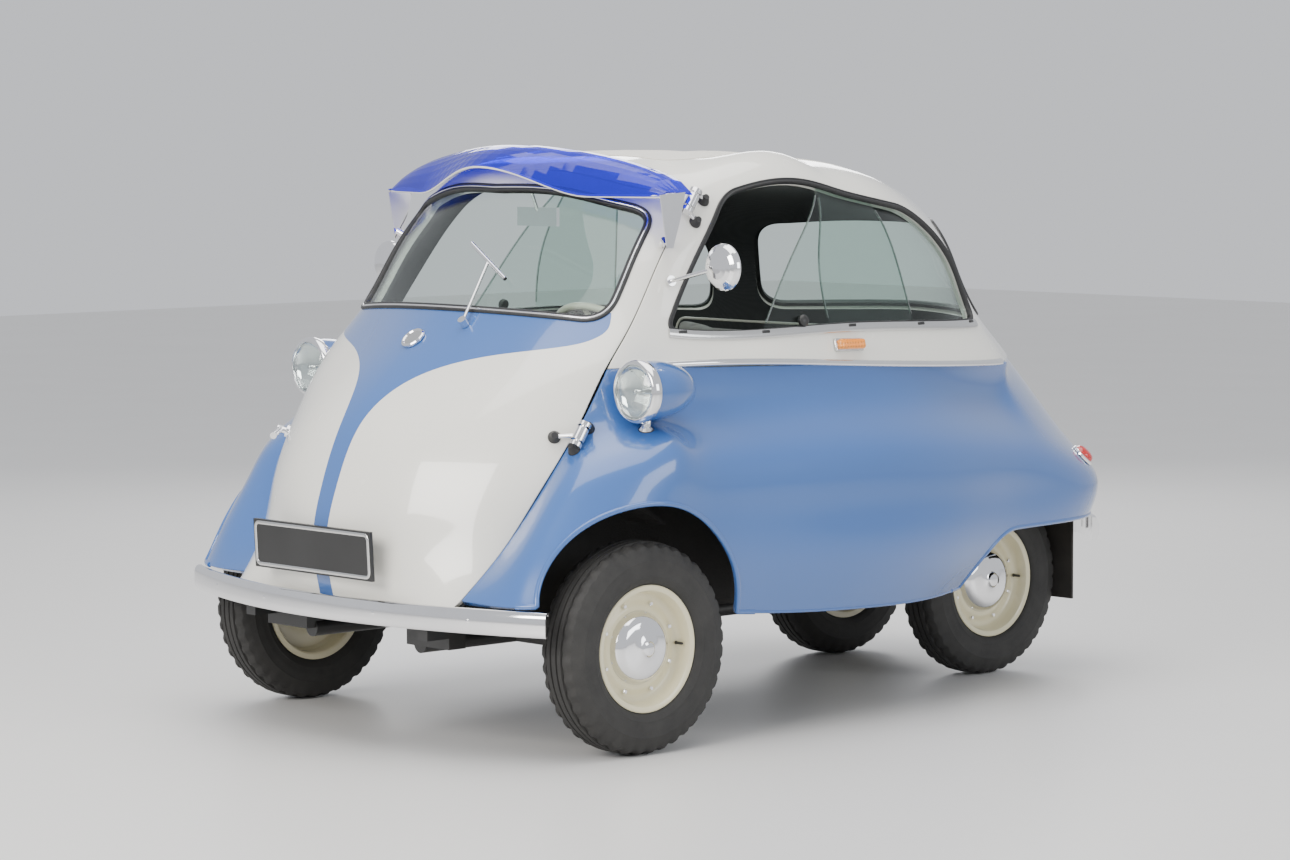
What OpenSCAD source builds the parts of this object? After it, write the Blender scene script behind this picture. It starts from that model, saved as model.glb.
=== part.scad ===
// Bubble car: one front-opening door, two wheels at the front, a narrow pair at the rear.
// +X is the car's left side, -Y its front, +Z up.  The origin is on the ground, below the
// middle of the outline.

/* [Body] */
// Length over the bumpers
body_length = 2285; // [2000:5:2800]
// Width over the wings
body_width = 1380; // [1150:5:1700]
// Height of the roof above the ground
body_height = 1340; // [1150:5:1650]
// Thickness of the upper body's walls and roof
wall = 24; // [18:1:32]
// Thickness of the lower body's skin
skin = 14; // [10:1:20]
// Thickness of the front door
door_wall = 30; // [22:1:40]
// Gap all round the front door
door_gap = 6; // [5:0.5:9]
// Thickness of the window glass
glass = 5; // [4:0.5:7]
// Width of the rubber around each window
seal_w = 18; // [14:1:24]
// Thickness of the floor
floor_t = 12; // [8:1:18]

/* [Wheels] */
// Distance between the axles
wheelbase = 1500; // [1350:5:1750]
// Distance between the front wheels' centre planes
front_track = 1200; // [1120:5:1300]
// Distance between the rear wheels' centre planes
rear_track = 520; // [470:5:600]
// Outer radius of the tyres
tyre_r = 240; // [220:1:260]
// Width of the tyres
tyre_w = 118; // [100:1:130]
// Radius of the rims' outer flange
rim_r = 144; // [130:1:155]
// Radius of the stub axles
stub_r = 14; // [11:1:18]
// Radius of the kingpins
kingpin_r = 11; // [9:1:14]
// Running clearance of the wheel and kingpin bores
run_fit = 0.05; // [0.02:0.01:0.1]

/* [Lamps and trim] */
// Radius of the headlamps
lamp_r = 70; // [62:1:76]
// Height of the bumper bars
bumper_h = 58; // [48:1:70]
// Width of the number plates
plate_w = 430; // [380:5:470]
// Height of the number plates
plate_h = 112; // [100:1:125]
// Radius of the steering wheel
helm_r = 190; // [165:1:205]

/* [Chassis] */
// Radius of the chassis tubes
tube_r = 22; // [18:1:28]
// Distance between the chassis tubes' centres
tube_gap = 400; // [340:5:460]
// Spacing of the jacking pads along the car
jack_gap = 900; // [760:5:960]

/* [Hidden] */
$fn = 48;

// The body's key points are drawn for this outline and follow the sizes above.
drawn_length = 2285;
drawn_width = 1380;
drawn_height = 1340;
grow = [body_width / drawn_width, body_length / drawn_length, body_height / drawn_height];
body_front = -1192 * grow.y;
body_rear = body_front + body_length;
origin_shift = -(body_front + body_rear) / 2;
front_axle_y = -wheelbase / 2;
rear_axle_y = wheelbase / 2;
axle_z = tyre_r;

// Key points of the cabin's left half.  Each row runs from the front centreline to the rear
// one, through the meridians listed in cabin_u; the rows climb from the sill to the roof
// opening at the heights listed in cabin_v.
cabin_u = [0, 240, 500, 585, 1160, 1680, 1790, 2030, 2240];
cabin_v = [0, 115, 245, 390, 545, 665, 830, 980, 1050, 1170];
cabin_rows = [
    [[0, -1152, 345], [222, -1134, 346], [400, -1082, 358], [440, -1030, 352], [580, -40, 285],
        [480, 500, 300], [420, 640, 420], [215, 960, 420], [0, 1020, 420]],
    [[0, -1170, 460], [228, -1122, 460], [432, -988, 462], [474, -915, 458], [598, -30, 430],
        [500, 520, 430], [430, 660, 500], [218, 950, 520], [0, 1010, 520]],
    [[0, -1142, 585], [240, -1092, 586], [470, -912, 588], [510, -835, 584], [596, -25, 580],
        [502, 540, 580], [436, 665, 600], [222, 925, 620], [0, 980, 625]],
    [[0, -1080, 722], [246, -1024, 722], [490, -820, 722], [526, -735, 720], [586, -24, 720],
        [500, 560, 712], [436, 668, 712], [224, 892, 722], [0, 934, 726]],
    [[0, -952, 858], [246, -898, 858], [490, -727, 860], [520, -620, 862], [565, -24, 842],
        [492, 575, 814], [432, 660, 814], [222, 850, 824], [0, 880, 828]],
    [[0, -814, 980], [246, -772, 974], [481, -648, 950], [505, -573, 937], [545, -4, 927],
        [464, 518, 915], [398, 598, 918], [212, 733, 924], [0, 778, 928]],
    [[0, -722, 1124], [241, -681, 1115], [467, -545, 1096], [483, -462, 1098], [512, 20, 1090],
        [427, 478, 1052], [364, 546, 1046], [196, 678, 1046], [0, 718, 1048]],
    [[0, -640, 1252], [232, -597, 1242], [445, -450, 1210], [453, -350, 1236], [454, 56, 1240],
        [383, 402, 1180], [324, 492, 1166], [176, 610, 1170], [0, 646, 1174]],
    [[0, -594, 1302], [222, -552, 1292], [418, -404, 1262], [412, -305, 1292], [404, 40, 1290],
        [344, 350, 1240], [288, 436, 1226], [156, 548, 1232], [0, 580, 1238]],
    [[0, -400, 1330], [200, -394, 1328], [318, -356, 1320], [330, -300, 1323], [335, 0, 1320],
        [300, 255, 1285], [270, 300, 1275], [120, 338, 1276], [0, 342, 1277]]
];

// Key points of the left wing and the blue skin below the belt line, from the door's edge
// round to the rear centreline, in the same way.
wing_u = [0, 120, 250, 700, 1150, 1470, 1790, 2110, 2420, 2700];
wing_v = [0, 115, 235, 355, 430, 570];
wing_rows = [
    [[400, -1082, 356], [530, -1075, 354], [622, -1030, 358], [640, -520, 303], [634, -66, 272],
        [582, 250, 266], [500, 530, 280], [492, 830, 300], [268, 1005, 330], [0, 1030, 335]],
    [[430, -992, 458], [546, -1020, 452], [634, -945, 462], [666, -530, 420], [680, -66, 395],
        [650, 250, 388], [586, 542, 382], [522, 862, 402], [280, 1036, 420], [0, 1058, 425]],
    [[462, -926, 562], [560, -945, 556], [640, -852, 572], [670, -548, 548], [682, -66, 525],
        [658, 250, 512], [601, 552, 500], [530, 886, 506], [288, 1040, 520], [0, 1060, 522]],
    [[482, -862, 660], [557, -856, 660], [620, -762, 690], [646, -562, 672], [665, -66, 660],
        [640, 254, 642], [580, 556, 620], [505, 772, 612], [272, 1002, 622], [0, 1024, 626]],
    [[491, -812, 732], [526, -765, 728], [554, -700, 735], [574, -550, 729], [600, -62, 730],
        [577, 260, 716], [502, 566, 696], [462, 700, 700], [252, 938, 716], [0, 958, 722]],
    [[490, -727, 858], [509, -652, 860], [522, -590, 859], [541, -470, 853], [565, -24, 840],
        [541, 290, 828], [492, 575, 812], [432, 660, 812], [222, 850, 822], [0, 880, 826]]
];

// ---- Smooth curves through key points ----

// Forward and backward sweeps for the second derivatives of a natural cubic through points p
// at the parameters t.
function sweep(t, p, i = 1, c = [0], d = undef) =
    let (
        e = is_undef(d) ? [0 * p[0]] : d
    )
    i == len(t) - 1 ? [c, e] :
    let (
        a = t[i] - t[i - 1],
        b = t[i + 1] - t[i],
        w = 2 * (a + b) - a * c[i - 1],
        r = 6 * ((p[i + 1] - p[i]) / b - (p[i] - p[i - 1]) / a)
    )
    sweep(t, p, i + 1, concat(c, [b / w]), concat(e, [(r - a * e[i - 1]) / w]));

function unsweep(c, d, i, m) = i < 0 ? m : unsweep(c, d, i - 1, concat([d[i] - c[i] * m[0]], m));

function bend(t, p) =
    let (
        s = sweep(t, p)
    )
    unsweep(s[0], s[1], len(t) - 2, [0 * p[0]]);

function span(t, x) = max([for (i = [0:len(t) - 2]) if (i == 0 || t[i] <= x) i]);

// The point at parameter x on the curve through p whose bends are m.
function curve(t, p, m, x) =
    let (
        i = span(t, x),
        h = t[i + 1] - t[i],
        a = (t[i + 1] - x) / h,
        b = 1 - a
    )
    a * p[i] + b * p[i + 1] + ((a * a * a - a) * m[i] + (b * b * b - b) * m[i + 1]) * h * h / 6;

function flip(p) = [-p.x, p.y, p.z];
function last(list) = list[len(list) - 1];
function sized(p) = [p.x * grow.x, p.y * grow.y, p.z * grow.z];

// A row carried on past a centreline by its own mirror image, so that it crosses level.
function carried(row, front) = concat(
    front ? [flip(row[2]), flip(row[1])] : [],
    row,
    [flip(row[len(row) - 2]), flip(row[len(row) - 3])]
);
function carried_u(t, front) = concat(
    front ? [-t[2], -t[1]] : [],
    t,
    [2 * last(t) - t[len(t) - 2], 2 * last(t) - t[len(t) - 3]]
);

cabin_t = carried_u(cabin_u, true);
cabin_p = [for (row = cabin_rows) carried([for (p = row) sized(p)], true)];
cabin_m = [for (row = cabin_p) bend(cabin_t, row)];
wing_t = carried_u(wing_u, false);
wing_p = [for (row = wing_rows) carried([for (p = row) sized(p)], false)];
wing_m = [for (row = wing_p) bend(wing_t, row)];

// A whole line of points up one meridian: u counts from the front centreline, or from the
// door's edge on the wing, and past the rear centreline it comes back along the right side.
function line_up(t, p, m, v_t, end, u, vs) =
    let (
        w = abs(u),
        side = (u < 0) != (w > end),
        x = w > end ? 2 * end - w : w,
        keys = [for (j = [0:len(p) - 1]) curve(t, p[j], m[j], x)],
        bends = bend(v_t, keys)
    )
    [for (v = vs) let (q = curve(v_t, keys, bends, v)) side ? flip(q) : q];

cabin_end = last(cabin_u);
wing_end = last(wing_u);
function cabin_line(u, vs) = line_up(cabin_t, cabin_p, cabin_m, cabin_v, cabin_end, u, vs);
function wing_line(u, vs) = line_up(wing_t, wing_p, wing_m, wing_v, wing_end, u, vs);
function cabin(u, v) = cabin_line(u, [v])[0];
function wing(u, v) = wing_line(u, [v])[0];

function unit(v) = v / norm(v);
// Outward normals.
function cabin_out(u, v) =
    let (
        a = cabin_line(u, [v - 6, v + 6])
    )
    unit(cross(cabin(u + 6, v) - cabin(u - 6, v), a[1] - a[0]));
function wing_out(u, v) =
    let (
        a = wing_line(u, [v - 6, v + 6])
    )
    unit(cross(wing(u + 6, v) - wing(u - 6, v), a[1] - a[0]));

function steps(a, b, n) = [for (i = [0:n]) a + (b - a) * i / n];

// ---- Closed shells ----

// The outward normals of a grid of points, one column of points for each u.
function grid_out(g) = [
    for (i = [0:len(g) - 1]) [
        for (j = [0:len(g[0]) - 1])
            let (
                a = g[min(i + 1, len(g) - 1)][j] - g[max(i - 1, 0)][j],
                b = g[i][min(j + 1, len(g[0]) - 1)] - g[i][max(j - 1, 0)]
            )
            unit(cross(a, b))
    ]
];

// A plate that follows a grid of points, from out above it to into below it.  A closed ring
// joins its last column to its first.
module plate(g, out, into, ring = false) {
    n = grid_out(g);
    cols = len(g);
    rows = len(g[0]);
    outer = [for (i = [0:cols - 1]) for (j = [0:rows - 1]) g[i][j] + out * n[i][j]];
    inner = [for (i = [0:cols - 1]) for (j = [0:rows - 1]) g[i][j] - into * n[i][j]];
    k = cols * rows;
    spans = ring ? cols - 1 : cols - 2;
    faces = [
        for (i = [0:spans]) for (j = [0:rows - 2])
            let (
                a = i * rows + j,
                b = ((i + 1) % cols) * rows + j
            )
            each [[a, a + 1, b], [b, a + 1, b + 1], [k + a, k + b, k + a + 1],
                [k + b, k + b + 1, k + a + 1]],
        for (i = [0:spans])
            let (
                a = i * rows,
                b = ((i + 1) % cols) * rows,
                c = rows - 1
            )
            each [[a, b, k + a], [b, k + b, k + a], [a + c, k + a + c, b + c],
                [b + c, k + a + c, k + b + c]],
        if (!ring) for (j = [0:rows - 2])
            let (
                e = (cols - 1) * rows + j
            )
            each [[j, k + j, j + 1], [k + j, k + j + 1, j + 1], [e, e + 1, k + e],
                [k + e, e + 1, k + e + 1]]
    ];
    polyhedron(concat(outer, inner), faces, 10);
}

function cabin_grid(us, vs) = [for (u = us) cabin_line(u, vs)];
function wing_grid(us, vs) = [for (u = us) wing_line(u, vs)];

// A rounded outline in the plane of u and v: corners are [u, v, radius], counterclockwise.
function rounded(corners, n = 6) = [
    for (i = [0:len(corners) - 1])
        let (
            c = corners[i],
            before = corners[(i + len(corners) - 1) % len(corners)],
            after = corners[(i + 1) % len(corners)],
            at = [c[0], c[1]],
            a = unit([before[0], before[1]] - at),
            b = unit([after[0], after[1]] - at),
            p = at + a * c[2],
            q = at + b * c[2]
        )
        each [for (s = steps(0, 1, n)) (1 - s) * (1 - s) * p + 2 * s * (1 - s) * at + s * s * q]
];

// More points along the long straight stretches of an outline.
function filled(points, gap) = [
    for (i = [0:len(points) - 1])
        let (
            a = points[i],
            b = points[(i + 1) % len(points)],
            n = max(1, ceil(norm(b - a) / gap))
        )
        each [for (k = [0:n - 1]) a + (b - a) * k / n]
];

// A plug over an outline on the cabin, for cutting windows and doors.
module cabin_plug(outline, out, into) {
    base = [for (q = outline) cabin(q.x, q.y)];
    ways = [for (q = outline) cabin_out(q.x, q.y)];
    plug(base, ways, out, into);
}

module wing_plug(outline, out, into) {
    base = [for (q = outline) wing(q.x, q.y)];
    ways = [for (q = outline) wing_out(q.x, q.y)];
    plug(base, ways, out, into);
}

module plug(base, ways, out, into) {
    n = len(base);
    top = [for (i = [0:n - 1]) base[i] + out * ways[i]];
    low = [for (i = [0:n - 1]) base[i] - into * ways[i]];
    mean = [for (a = base) 1] * base / n;
    way = unit([for (a = ways) 1] * ways);
    mean_top = mean + 2.5 * out * way;
    mean_low = mean - into * way;
    faces = [
        for (i = [0:n - 1])
            let (
                j = (i + 1) % n
            )
            each [[i, 2 * n, j], [n + i, n + j, 2 * n + 1], [i, j, n + i], [j, n + j, n + i]]
    ];
    polyhedron(concat(top, low, [mean_top, mean_low]), faces, 10);
}

// A bar of rectangular section along a closed loop of points on a surface: ways point out of
// the surface, and the bar reaches wide across it, from low to high along the ways.
module loop_bar(base, ways, wide, low, high) {
    n = len(base);
    rings = [
        for (i = [0:n - 1])
            let (
                along = unit(base[(i + 1) % n] - base[(i + n - 1) % n]),
                across = unit(cross(along, ways[i]))
            )
            [base[i] + across * wide / 2 + ways[i] * low, base[i] + across * wide / 2 + ways[i] * high,
                base[i] - across * wide / 2 + ways[i] * high,
                base[i] - across * wide / 2 + ways[i] * low]
    ];
    tube_mesh(rings, true);
}

// The skin over a list of rings of points; an open one is capped.
module tube_mesh(rings, ring) {
    n = len(rings);
    k = len(rings[0]);
    spans = ring ? n - 1 : n - 2;
    faces = [
        for (i = [0:spans]) for (j = [0:k - 1])
            let (
                a = i * k + j,
                b = i * k + (j + 1) % k,
                c = ((i + 1) % n) * k + j,
                d = ((i + 1) % n) * k + (j + 1) % k
            )
            each [[a, b, c], [b, d, c]],
        if (!ring) for (j = [1:k - 2])
            each [[0, j + 1, j], [(n - 1) * k, (n - 1) * k + j, (n - 1) * k + j + 1]]
    ];
    polyhedron([for (r = rings) each r], faces, 10);
}

// A round bar along a list of points, with round joints.
module rod(points, r) {
    for (i = [0:len(points) - 2]) {
        aim(points[i], points[i + 1] - points[i])
            cylinder(h = norm(points[i + 1] - points[i]), r = r);
        if (i > 0) translate(points[i]) sphere(r = r);
    }
}

// Stands a shape, drawn up +Z, at a point with its +Z along a direction.
module aim(at, way) {
    w = unit(way);
    translate(at) rotate([0, acos(w.z), atan2(w.y, w.x)]) children();
}

// Everything is drawn about the middle of the wheelbase and then set on the part's origin.
module set_down() {
    translate([0, origin_shift, 0]) children();
}

module both_sides() {
    children();
    mirror([1, 0, 0]) children();
}

// ---- Outlines on the surfaces ----

door_u = 500;
door_top_v = 1046;
screen_u = 436;
side_u0 = 596;
side_u1 = 1672;
rear_u0 = 1800;
window_v0 = 668;
window_v1 = 984;
belt_v = 545;

door_outline = filled(rounded([[-door_u, -24, 4], [door_u, -24, 4], [door_u, door_top_v, 90],
    [-door_u, door_top_v, 90]]), 90);
screen_outline = filled(rounded([[-screen_u, 664, 62], [screen_u, 664, 62],
    [screen_u, 990, 70], [-screen_u, 990, 70]]), 90);
side_outline = filled(rounded([[side_u0, window_v0, 34], [side_u1, window_v0, 60],
    [side_u1, window_v1, 190], [side_u0, window_v1, 44]]), 90);
rear_outline = filled(rounded([[rear_u0, window_v0, 80], [2 * cabin_end - rear_u0, window_v0, 80],
    [2 * cabin_end - rear_u0, 972, 90], [rear_u0, 972, 90]]), 90);
hatch_outline = filled(rounded([[2 * wing_end - 1800, 170, 40], [2 * wing_end - 1500, 170, 40],
    [2 * wing_end - 1500, 330, 40], [2 * wing_end - 1800, 330, 40]]), 60);

// The outline, moved in by d, for a piece that fits inside it.
function inset(outline, d) =
    let (
        n = len(outline)
    )
    [
        for (i = [0:n - 1])
            let (
                along = unit(outline[(i + 1) % n] - outline[(i + n - 1) % n])
            )
            outline[i] + d * [-along.y, along.x]
    ];

// ---- Body panels ----

module upper_body() {
    vs = concat([belt_v], [600, 650, 720, 790, 860, 930, 990, 1030, 1060, 1110, 1170]);
    set_down() color("ivory") resize([0, 0, 0]) difference() {
        plate(cabin_grid([for (i = [0:59]) i * 2 * cabin_end / 60], vs), 0, wall, ring = true);
        cabin_plug(inset(door_outline, -door_gap / 2), 400, 90);
        cabin_plug(side_outline, 150, 60);
        mirror([1, 0, 0]) cabin_plug(side_outline, 150, 60);
        cabin_plug(rear_outline, 400, 60);
    }
}

// A notch in the front skin behind each lower corner of the door.
corner_relief = [411, -1029, 407];

module lower_body() {
    vs = [0, 60, 120, 180, 240, 300, 345, 385, 430, 480, 564];
    set_down() color("cornflowerblue") resize([0, 0, 0]) difference() {
        plate(wing_grid([for (i = [0:72]) i * 2 * wing_end / 72], vs), 0, skin);
        both_sides() arch_cuts();
        wing_plug(hatch_outline, 30, 40);
        cabin_plug(inset(door_outline, -door_gap / 2 - 2), 400, 90);
        plate(cabin_grid([for (i = [0:59]) i * 2 * cabin_end / 60], [belt_v - 4, 600, 640]), 2, wall + 8,
            ring = true);
        both_sides() translate(corner_relief) cube([24, 28, 20]);
    }
}

skirt_z = 414;

// The front wheel's arch and the high skirt around the rear wheels.
module arch_cuts() {
    translate([520, front_axle_y - 10, 272]) rotate([0, 90, 0])
        scale([1, 0.985, 1]) cylinder(h = 300, r = 297, $fn = 64);
    translate([520, front_axle_y - 302, 200]) cube([300, 584, 72]);
    translate([-700, rear_axle_y - 225, 200]) cube([1400, 700, skirt_z - 200]);
    translate([-700, rear_axle_y - 225, 272]) rotate([0, 90, 0]) cylinder(h = 1400, r = 142);
}

module front_door() {
    us = steps(-door_u - 20, door_u + 20, 24);
    vs = concat(steps(0, 600, 10), [660, 740, 830, 920, 990, 1018, 1046, 1080]);
    set_down() color("ivory") resize([0, 0, 0]) difference() {
        intersection() {
            plate(cabin_grid(us, vs), 0, door_wall);
            cabin_plug(inset(door_outline, door_gap / 2), 400, 90);
        }
        cabin_plug(screen_outline, 400, 60);
    }
}

// A pane that follows the cabin inside an outline, below its surface by deep.
module pane(outline, us, vs, deep) {
    resize([0, 0, 0]) intersection() {
        plate(cabin_grid(us, vs), -deep, deep + glass);
        cabin_plug(outline, 300, 60);
    }
}

pane_fit = 1.6;
pane_deep = 9;

module windscreen_glass() {
    set_down() color("lightcyan", 0.4)
        pane(inset(screen_outline, pane_fit), steps(-470, 470, 14), steps(640, 1010, 5), pane_deep);
}

module side_glass() {
    set_down() color("lightcyan", 0.4) both_sides()
        pane(inset(side_outline, pane_fit), steps(570, 1700, 12), steps(640, 1005, 5), pane_deep);
}

module rear_glass() {
    set_down() color("lightcyan", 0.4)
        pane(inset(rear_outline, pane_fit), steps(1760, 2 * cabin_end - 1760, 16),
            steps(640, 1005, 5), pane_deep);
}

module seal(outline) {
    loop_bar([for (q = outline) cabin(q.x, q.y)], [for (q = outline) cabin_out(q.x, q.y)], seal_w, 0.3, 7);
}

module windscreen_seal() {
    set_down() color("black") seal(screen_outline);
}

module side_window_seals() {
    set_down() color("black") both_sides() seal(side_outline);
}

module rear_window_seal() {
    set_down() color("black") seal(rear_outline);
}

// The folded fabric roof fills the opening that the roof's last row bounds.
// How much the roof panel narrows towards its underside.
roof_draft = 0.965;

module sunroof() {
    loop = [for (i = [0:47]) cabin(i * 2 * cabin_end / 48, last(cabin_v))];
    mid = [for (p = loop) 1] * loop / len(loop);
    crown = 26;
    rings = [for (s = [1, 0.86, 0.7, 0.5, 0.3, 0.1])
        [for (p = loop)
            let (
                q = mid + s * (p - mid)
            )
            [q.x, q.y, q.z + crown * (1 - s * s)]]];
    under = [for (r = rings)
        [for (p = r) mid + roof_draft * (p - mid) + [0, 0, (1 - roof_draft) * (p - mid).z - 12]]];
    shut = 0.995;
    all = concat([for (i = [len(rings) - 1:-1:0]) under[i]], rings);
    set_down() color("linen")
        translate([mid.x, mid.y, 0]) scale([shut, shut, 1]) translate([-mid.x, -mid.y, 0])
            tube_mesh([for (r = all) [for (i = [len(r) - 1:-1:0]) r[i]]], false);
}

module belt_trim() {
    us = steps(530, 1700, 22);
    set_down() color("silver") both_sides() tube_mesh([
        for (u = us)
            let (
                p = cabin(u, belt_v),
                n = cabin_out(u, belt_v)
            )
            [p + 7 * n - [0, 0, 8], p + 7 * n + [0, 0, 8], p + 1 * n + [0, 0, 8],
                p + 4 * n - [0, 0, 8]]
    ], false);
}

// ---- Cabin inside ----

// The cabin's inner walls stand clear of the front wheels and widen behind them; a ledge
// joins each to the outer skin.
inner_x = 390;
inner_wide = 452;
inner_path = [[inner_x, -1046], [inner_x, -490], [inner_x + 30, -400], [inner_wide, -320],
    [inner_wide, 200], [inner_wide - 12, 418]];
inner_t = 12;
ledge_z = 700;

// The room that the shut door takes, with some clearance behind it.
module door_room(clear) {
    cabin_plug(inset(door_outline, -door_gap - 8), 400, door_wall + clear);
}

module inner_sides() {
    path = [for (p = inner_path) [p.x * grow.x, p.y * grow.y]];
    outer = [for (i = [len(path) - 1:-1:0]) path[i] + [inner_t, 0]];
    edge = [for (u = steps(1500, 300, 12)) wing(u, 430) - (skin + 8) * wing_out(u, 430)];
    set_down() color("dimgray") both_sides() resize([0, 0, 0]) {
        difference() {
            translate([0, 0, floor_z]) linear_extrude(ledge_z - floor_z + 5) polygon(concat(path, outer));
            door_room(32);
        }
        translate([0, 0, ledge_z]) linear_extrude(10)
            polygon(concat([[path[1].x, -700], path[1], path[2], path[3], path[4], path[5]],
                [for (p = edge) [p.x, p.y]]));
    }
}

floor_z = 300;

module floor_pan() {
    side = [for (p = inner_path) [(p.x + inner_t) * grow.x, min(max(p.y, -1052), 403) * grow.y]];
    set_down() color("dimgray") translate([0, 0, floor_z - floor_t]) linear_extrude(floor_t - 0.3)
        polygon(concat(side, [for (i = [len(side) - 1:-1:0]) [-side[i].x, side[i].y]]));
}

bulkhead_y = 398;
shelf_z = 742;

module rear_bulkhead() {
    half = [for (z = [floor_z, ledge_z]) [(inner_wide - 13) * grow.x, z]];
    shelf = [for (u = steps(1600, 2 * cabin_end - 1600, 16)) cabin(u, 405) - 48 * cabin_out(u, 405)];
    set_down() color("dimgray") {
        translate([0, bulkhead_y + 10, 0]) rotate([90, 0, 0]) linear_extrude(10)
            polygon(concat(half, [[half[0].x, shelf_z]], [[-half[0].x, shelf_z]],
                [for (i = [1:-1:0]) [-half[i].x, half[i].y]]));
        translate([0, 0, shelf_z]) linear_extrude(10)
            polygon(concat([[-430, bulkhead_y], [430, bulkhead_y]], [for (p = shelf) [p.x, p.y]]));
    }
}

module wheel_liners() {
    set_down() color("black") {
        both_sides() resize([0, 0, 0]) difference() {
            translate([0, front_axle_y - 10, 272]) intersection() {
                translate([inner_x + inner_t + 0.3, 0, 0]) rotate([0, 90, 0]) difference() {
                    cylinder(h = 118, r = 292, $fn = 64);
                    translate([0, 0, -1]) cylinder(h = 120, r = 284, $fn = 64);
                }
                translate([300, -400, 225]) cube([400, 800, 300]);
            }
            door_room(32);
        }
        translate([-400, bulkhead_y + 10.3, 520]) cube([800, 520, 8]);
    }
}

// ---- Lamps, mirrors and trim ----

lamp_at = [592 * grow.x, -731 * grow.y, 812 * grow.z];
pod_l = 172;

// A lamp's parts are drawn looking along -Y from the lamp's rim.
module at_lamps() {
    both_sides() translate(lamp_at) rotate([90, 0, 0]) children();
}

module pod_shape(more) {
    rotate_extrude() polygon(concat([[0, -14], [lamp_r - 4 + more, -14]],
        [for (a = steps(0, 88, 10)) [(lamp_r - 2) * pow(cos(a), 0.8) + more, -16 - (pod_l - 16) * sin(a)]],
        [[0, -pod_l - more]]));
}

module headlamp_pods() {
    set_down() color("cornflowerblue") at_lamps() pod_shape(0);
}

module headlamp_rims() {
    foot = wing(300, 404);
    out = wing_out(300, 404);
    set_down() color("silver") {
        at_lamps() rotate_extrude() polygon([[lamp_r - 9, -4], [lamp_r, -4], [lamp_r + 3, 0],
            [lamp_r, 8], [lamp_r - 9, 12]]);
        both_sides() difference() {
            union() {
                aim(foot + 3.2 * out, out) cylinder(h = 6, r = 12);
                rod([foot + 5 * out, [lamp_at.x, lamp_at.y + 44, lamp_at.z]], 11);
            }
            translate(lamp_at) rotate([90, 0, 0]) pod_shape(0.3);
            translate([lamp_at.x - 20, lamp_at.y, lamp_at.z - 20]) cube([40, 90, 40]);
        }
    }
}

module headlamp_lenses() {
    set_down() color("white", 0.6) at_lamps() rotate_extrude() polygon(concat([[0, -13], [lamp_r - 9.3, -13]],
        [for (a = steps(0, 85, 8)) [(lamp_r - 9.3) * cos(a), 22 * sin(a)]], [[0, 22]]));
}

mirror_r = 54;

module mirror_on(root, out, head) {
    color("silver") union() {
        aim(root + 0.3 * out, out) cylinder(h = 9, r = 12);
        rod([root + 5 * out, head], 5);
        translate(head) rotate([-90, 0, 0]) translate([0, 0, -14]) rotate_extrude()
            polygon(concat([[0, 0]], [for (a = steps(0, 90, 6)) [mirror_r * sin(a), 22 * (1 - cos(a))]],
                [[mirror_r, 26], [0, 26]]));
    }
}

module mirrors() {
    set_down() {
        mirror_on(cabin(552, 780), cabin_out(552, 780), sized([640, -517, 1084]));
        mirror_on(cabin(-556, 738), cabin_out(-556, 738), sized([-640, -452, 1058]));
    }
}

module side_indicators() {
    p = cabin(1150, 606);
    n = cabin_out(1150, 606);
    set_down() color("orange") both_sides() aim(p + 1.4 * n, n)
        translate([-16, -46, 0]) cube([32, 92, 26]);
}

module tail_lamps() {
    p = wing(2170, 300);
    n = wing_out(2170, 300);
    set_down() color("firebrick") both_sides() aim(p + 0.3 * n, n) union() {
        cylinder(h = 10, r = 40);
        translate([0, 0, 10]) cylinder(h = 22, r = 34);
    }
}

bumper_half = 645 * grow.x;
bumper_z = 318;
bumper_sweep = 140;

function front_bar_y(x) = body_front + bumper_sweep * pow(x / bumper_half, 2);

module bar(points, h, t) {
    tube_mesh([
        for (i = [0:len(points) - 1])
            let (
                p = points[i],
                along = unit(points[min(i + 1, len(points) - 1)] - points[max(i - 1, 0)]),
                out = unit(cross([0, 0, 1], along))
            )
            [[p.x, p.y, p.z + h / 2] - out * t, [p.x, p.y, p.z + h / 2] - out * t * 0.4,
                [p.x, p.y, p.z + h * 0.2], [p.x, p.y, p.z - h * 0.2],
                [p.x, p.y, p.z - h / 2] - out * t * 0.4, [p.x, p.y, p.z - h / 2] - out * t]
    ], false);
}

module front_bumper() {
    points = [for (x = steps(bumper_half, -bumper_half, 24)) [x, front_bar_y(x), bumper_z]];
    set_down() color("silver") bar(points, bumper_h, 24);
}

rear_bar_z = 372;
function rear_bar_y(x) = body_rear - 0.0016 * pow(abs(x) - 190, 2);

module rear_bumpers() {
    points = [for (x = steps(190, 500, 10)) [x, rear_bar_y(x), rear_bar_z]];
    foot = wing(2320, 150);
    out = wing_out(2320, 150);
    set_down() color("silver") both_sides() {
        bar(points, bumper_h, 18);
        aim(foot + 2.4 * out, out) cylinder(h = 9, r = 12);
        rod([foot + 10 * out, [foot.x, rear_bar_y(foot.x) - 10, rear_bar_z]], 9);
    }
}

plate_z = 446;
plate_y = -1188 * grow.y;

module number_plate(w, h) {
    translate([-w / 2, -4, -h / 2]) cube([w, 8, h]);
}

module front_plate() {
    set_down() color("black") union() {
        translate([0, plate_y, plate_z]) rotate([3, 0, 0]) number_plate(plate_w, plate_h);
        both_sides()
            let (
                p = cabin(130, 100),
                n = cabin_out(130, 100)
            )
            aim(p + 0.3 * n, n) cylinder(h = (plate_y + 2 - p.y) / n.y, r = 9);
    }
}

module rear_plate() {
    set_down() color("black") translate([0, wing(wing_end, 220).y + 7, 480])
        number_plate(plate_w * 0.62, plate_h);
}

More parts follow.
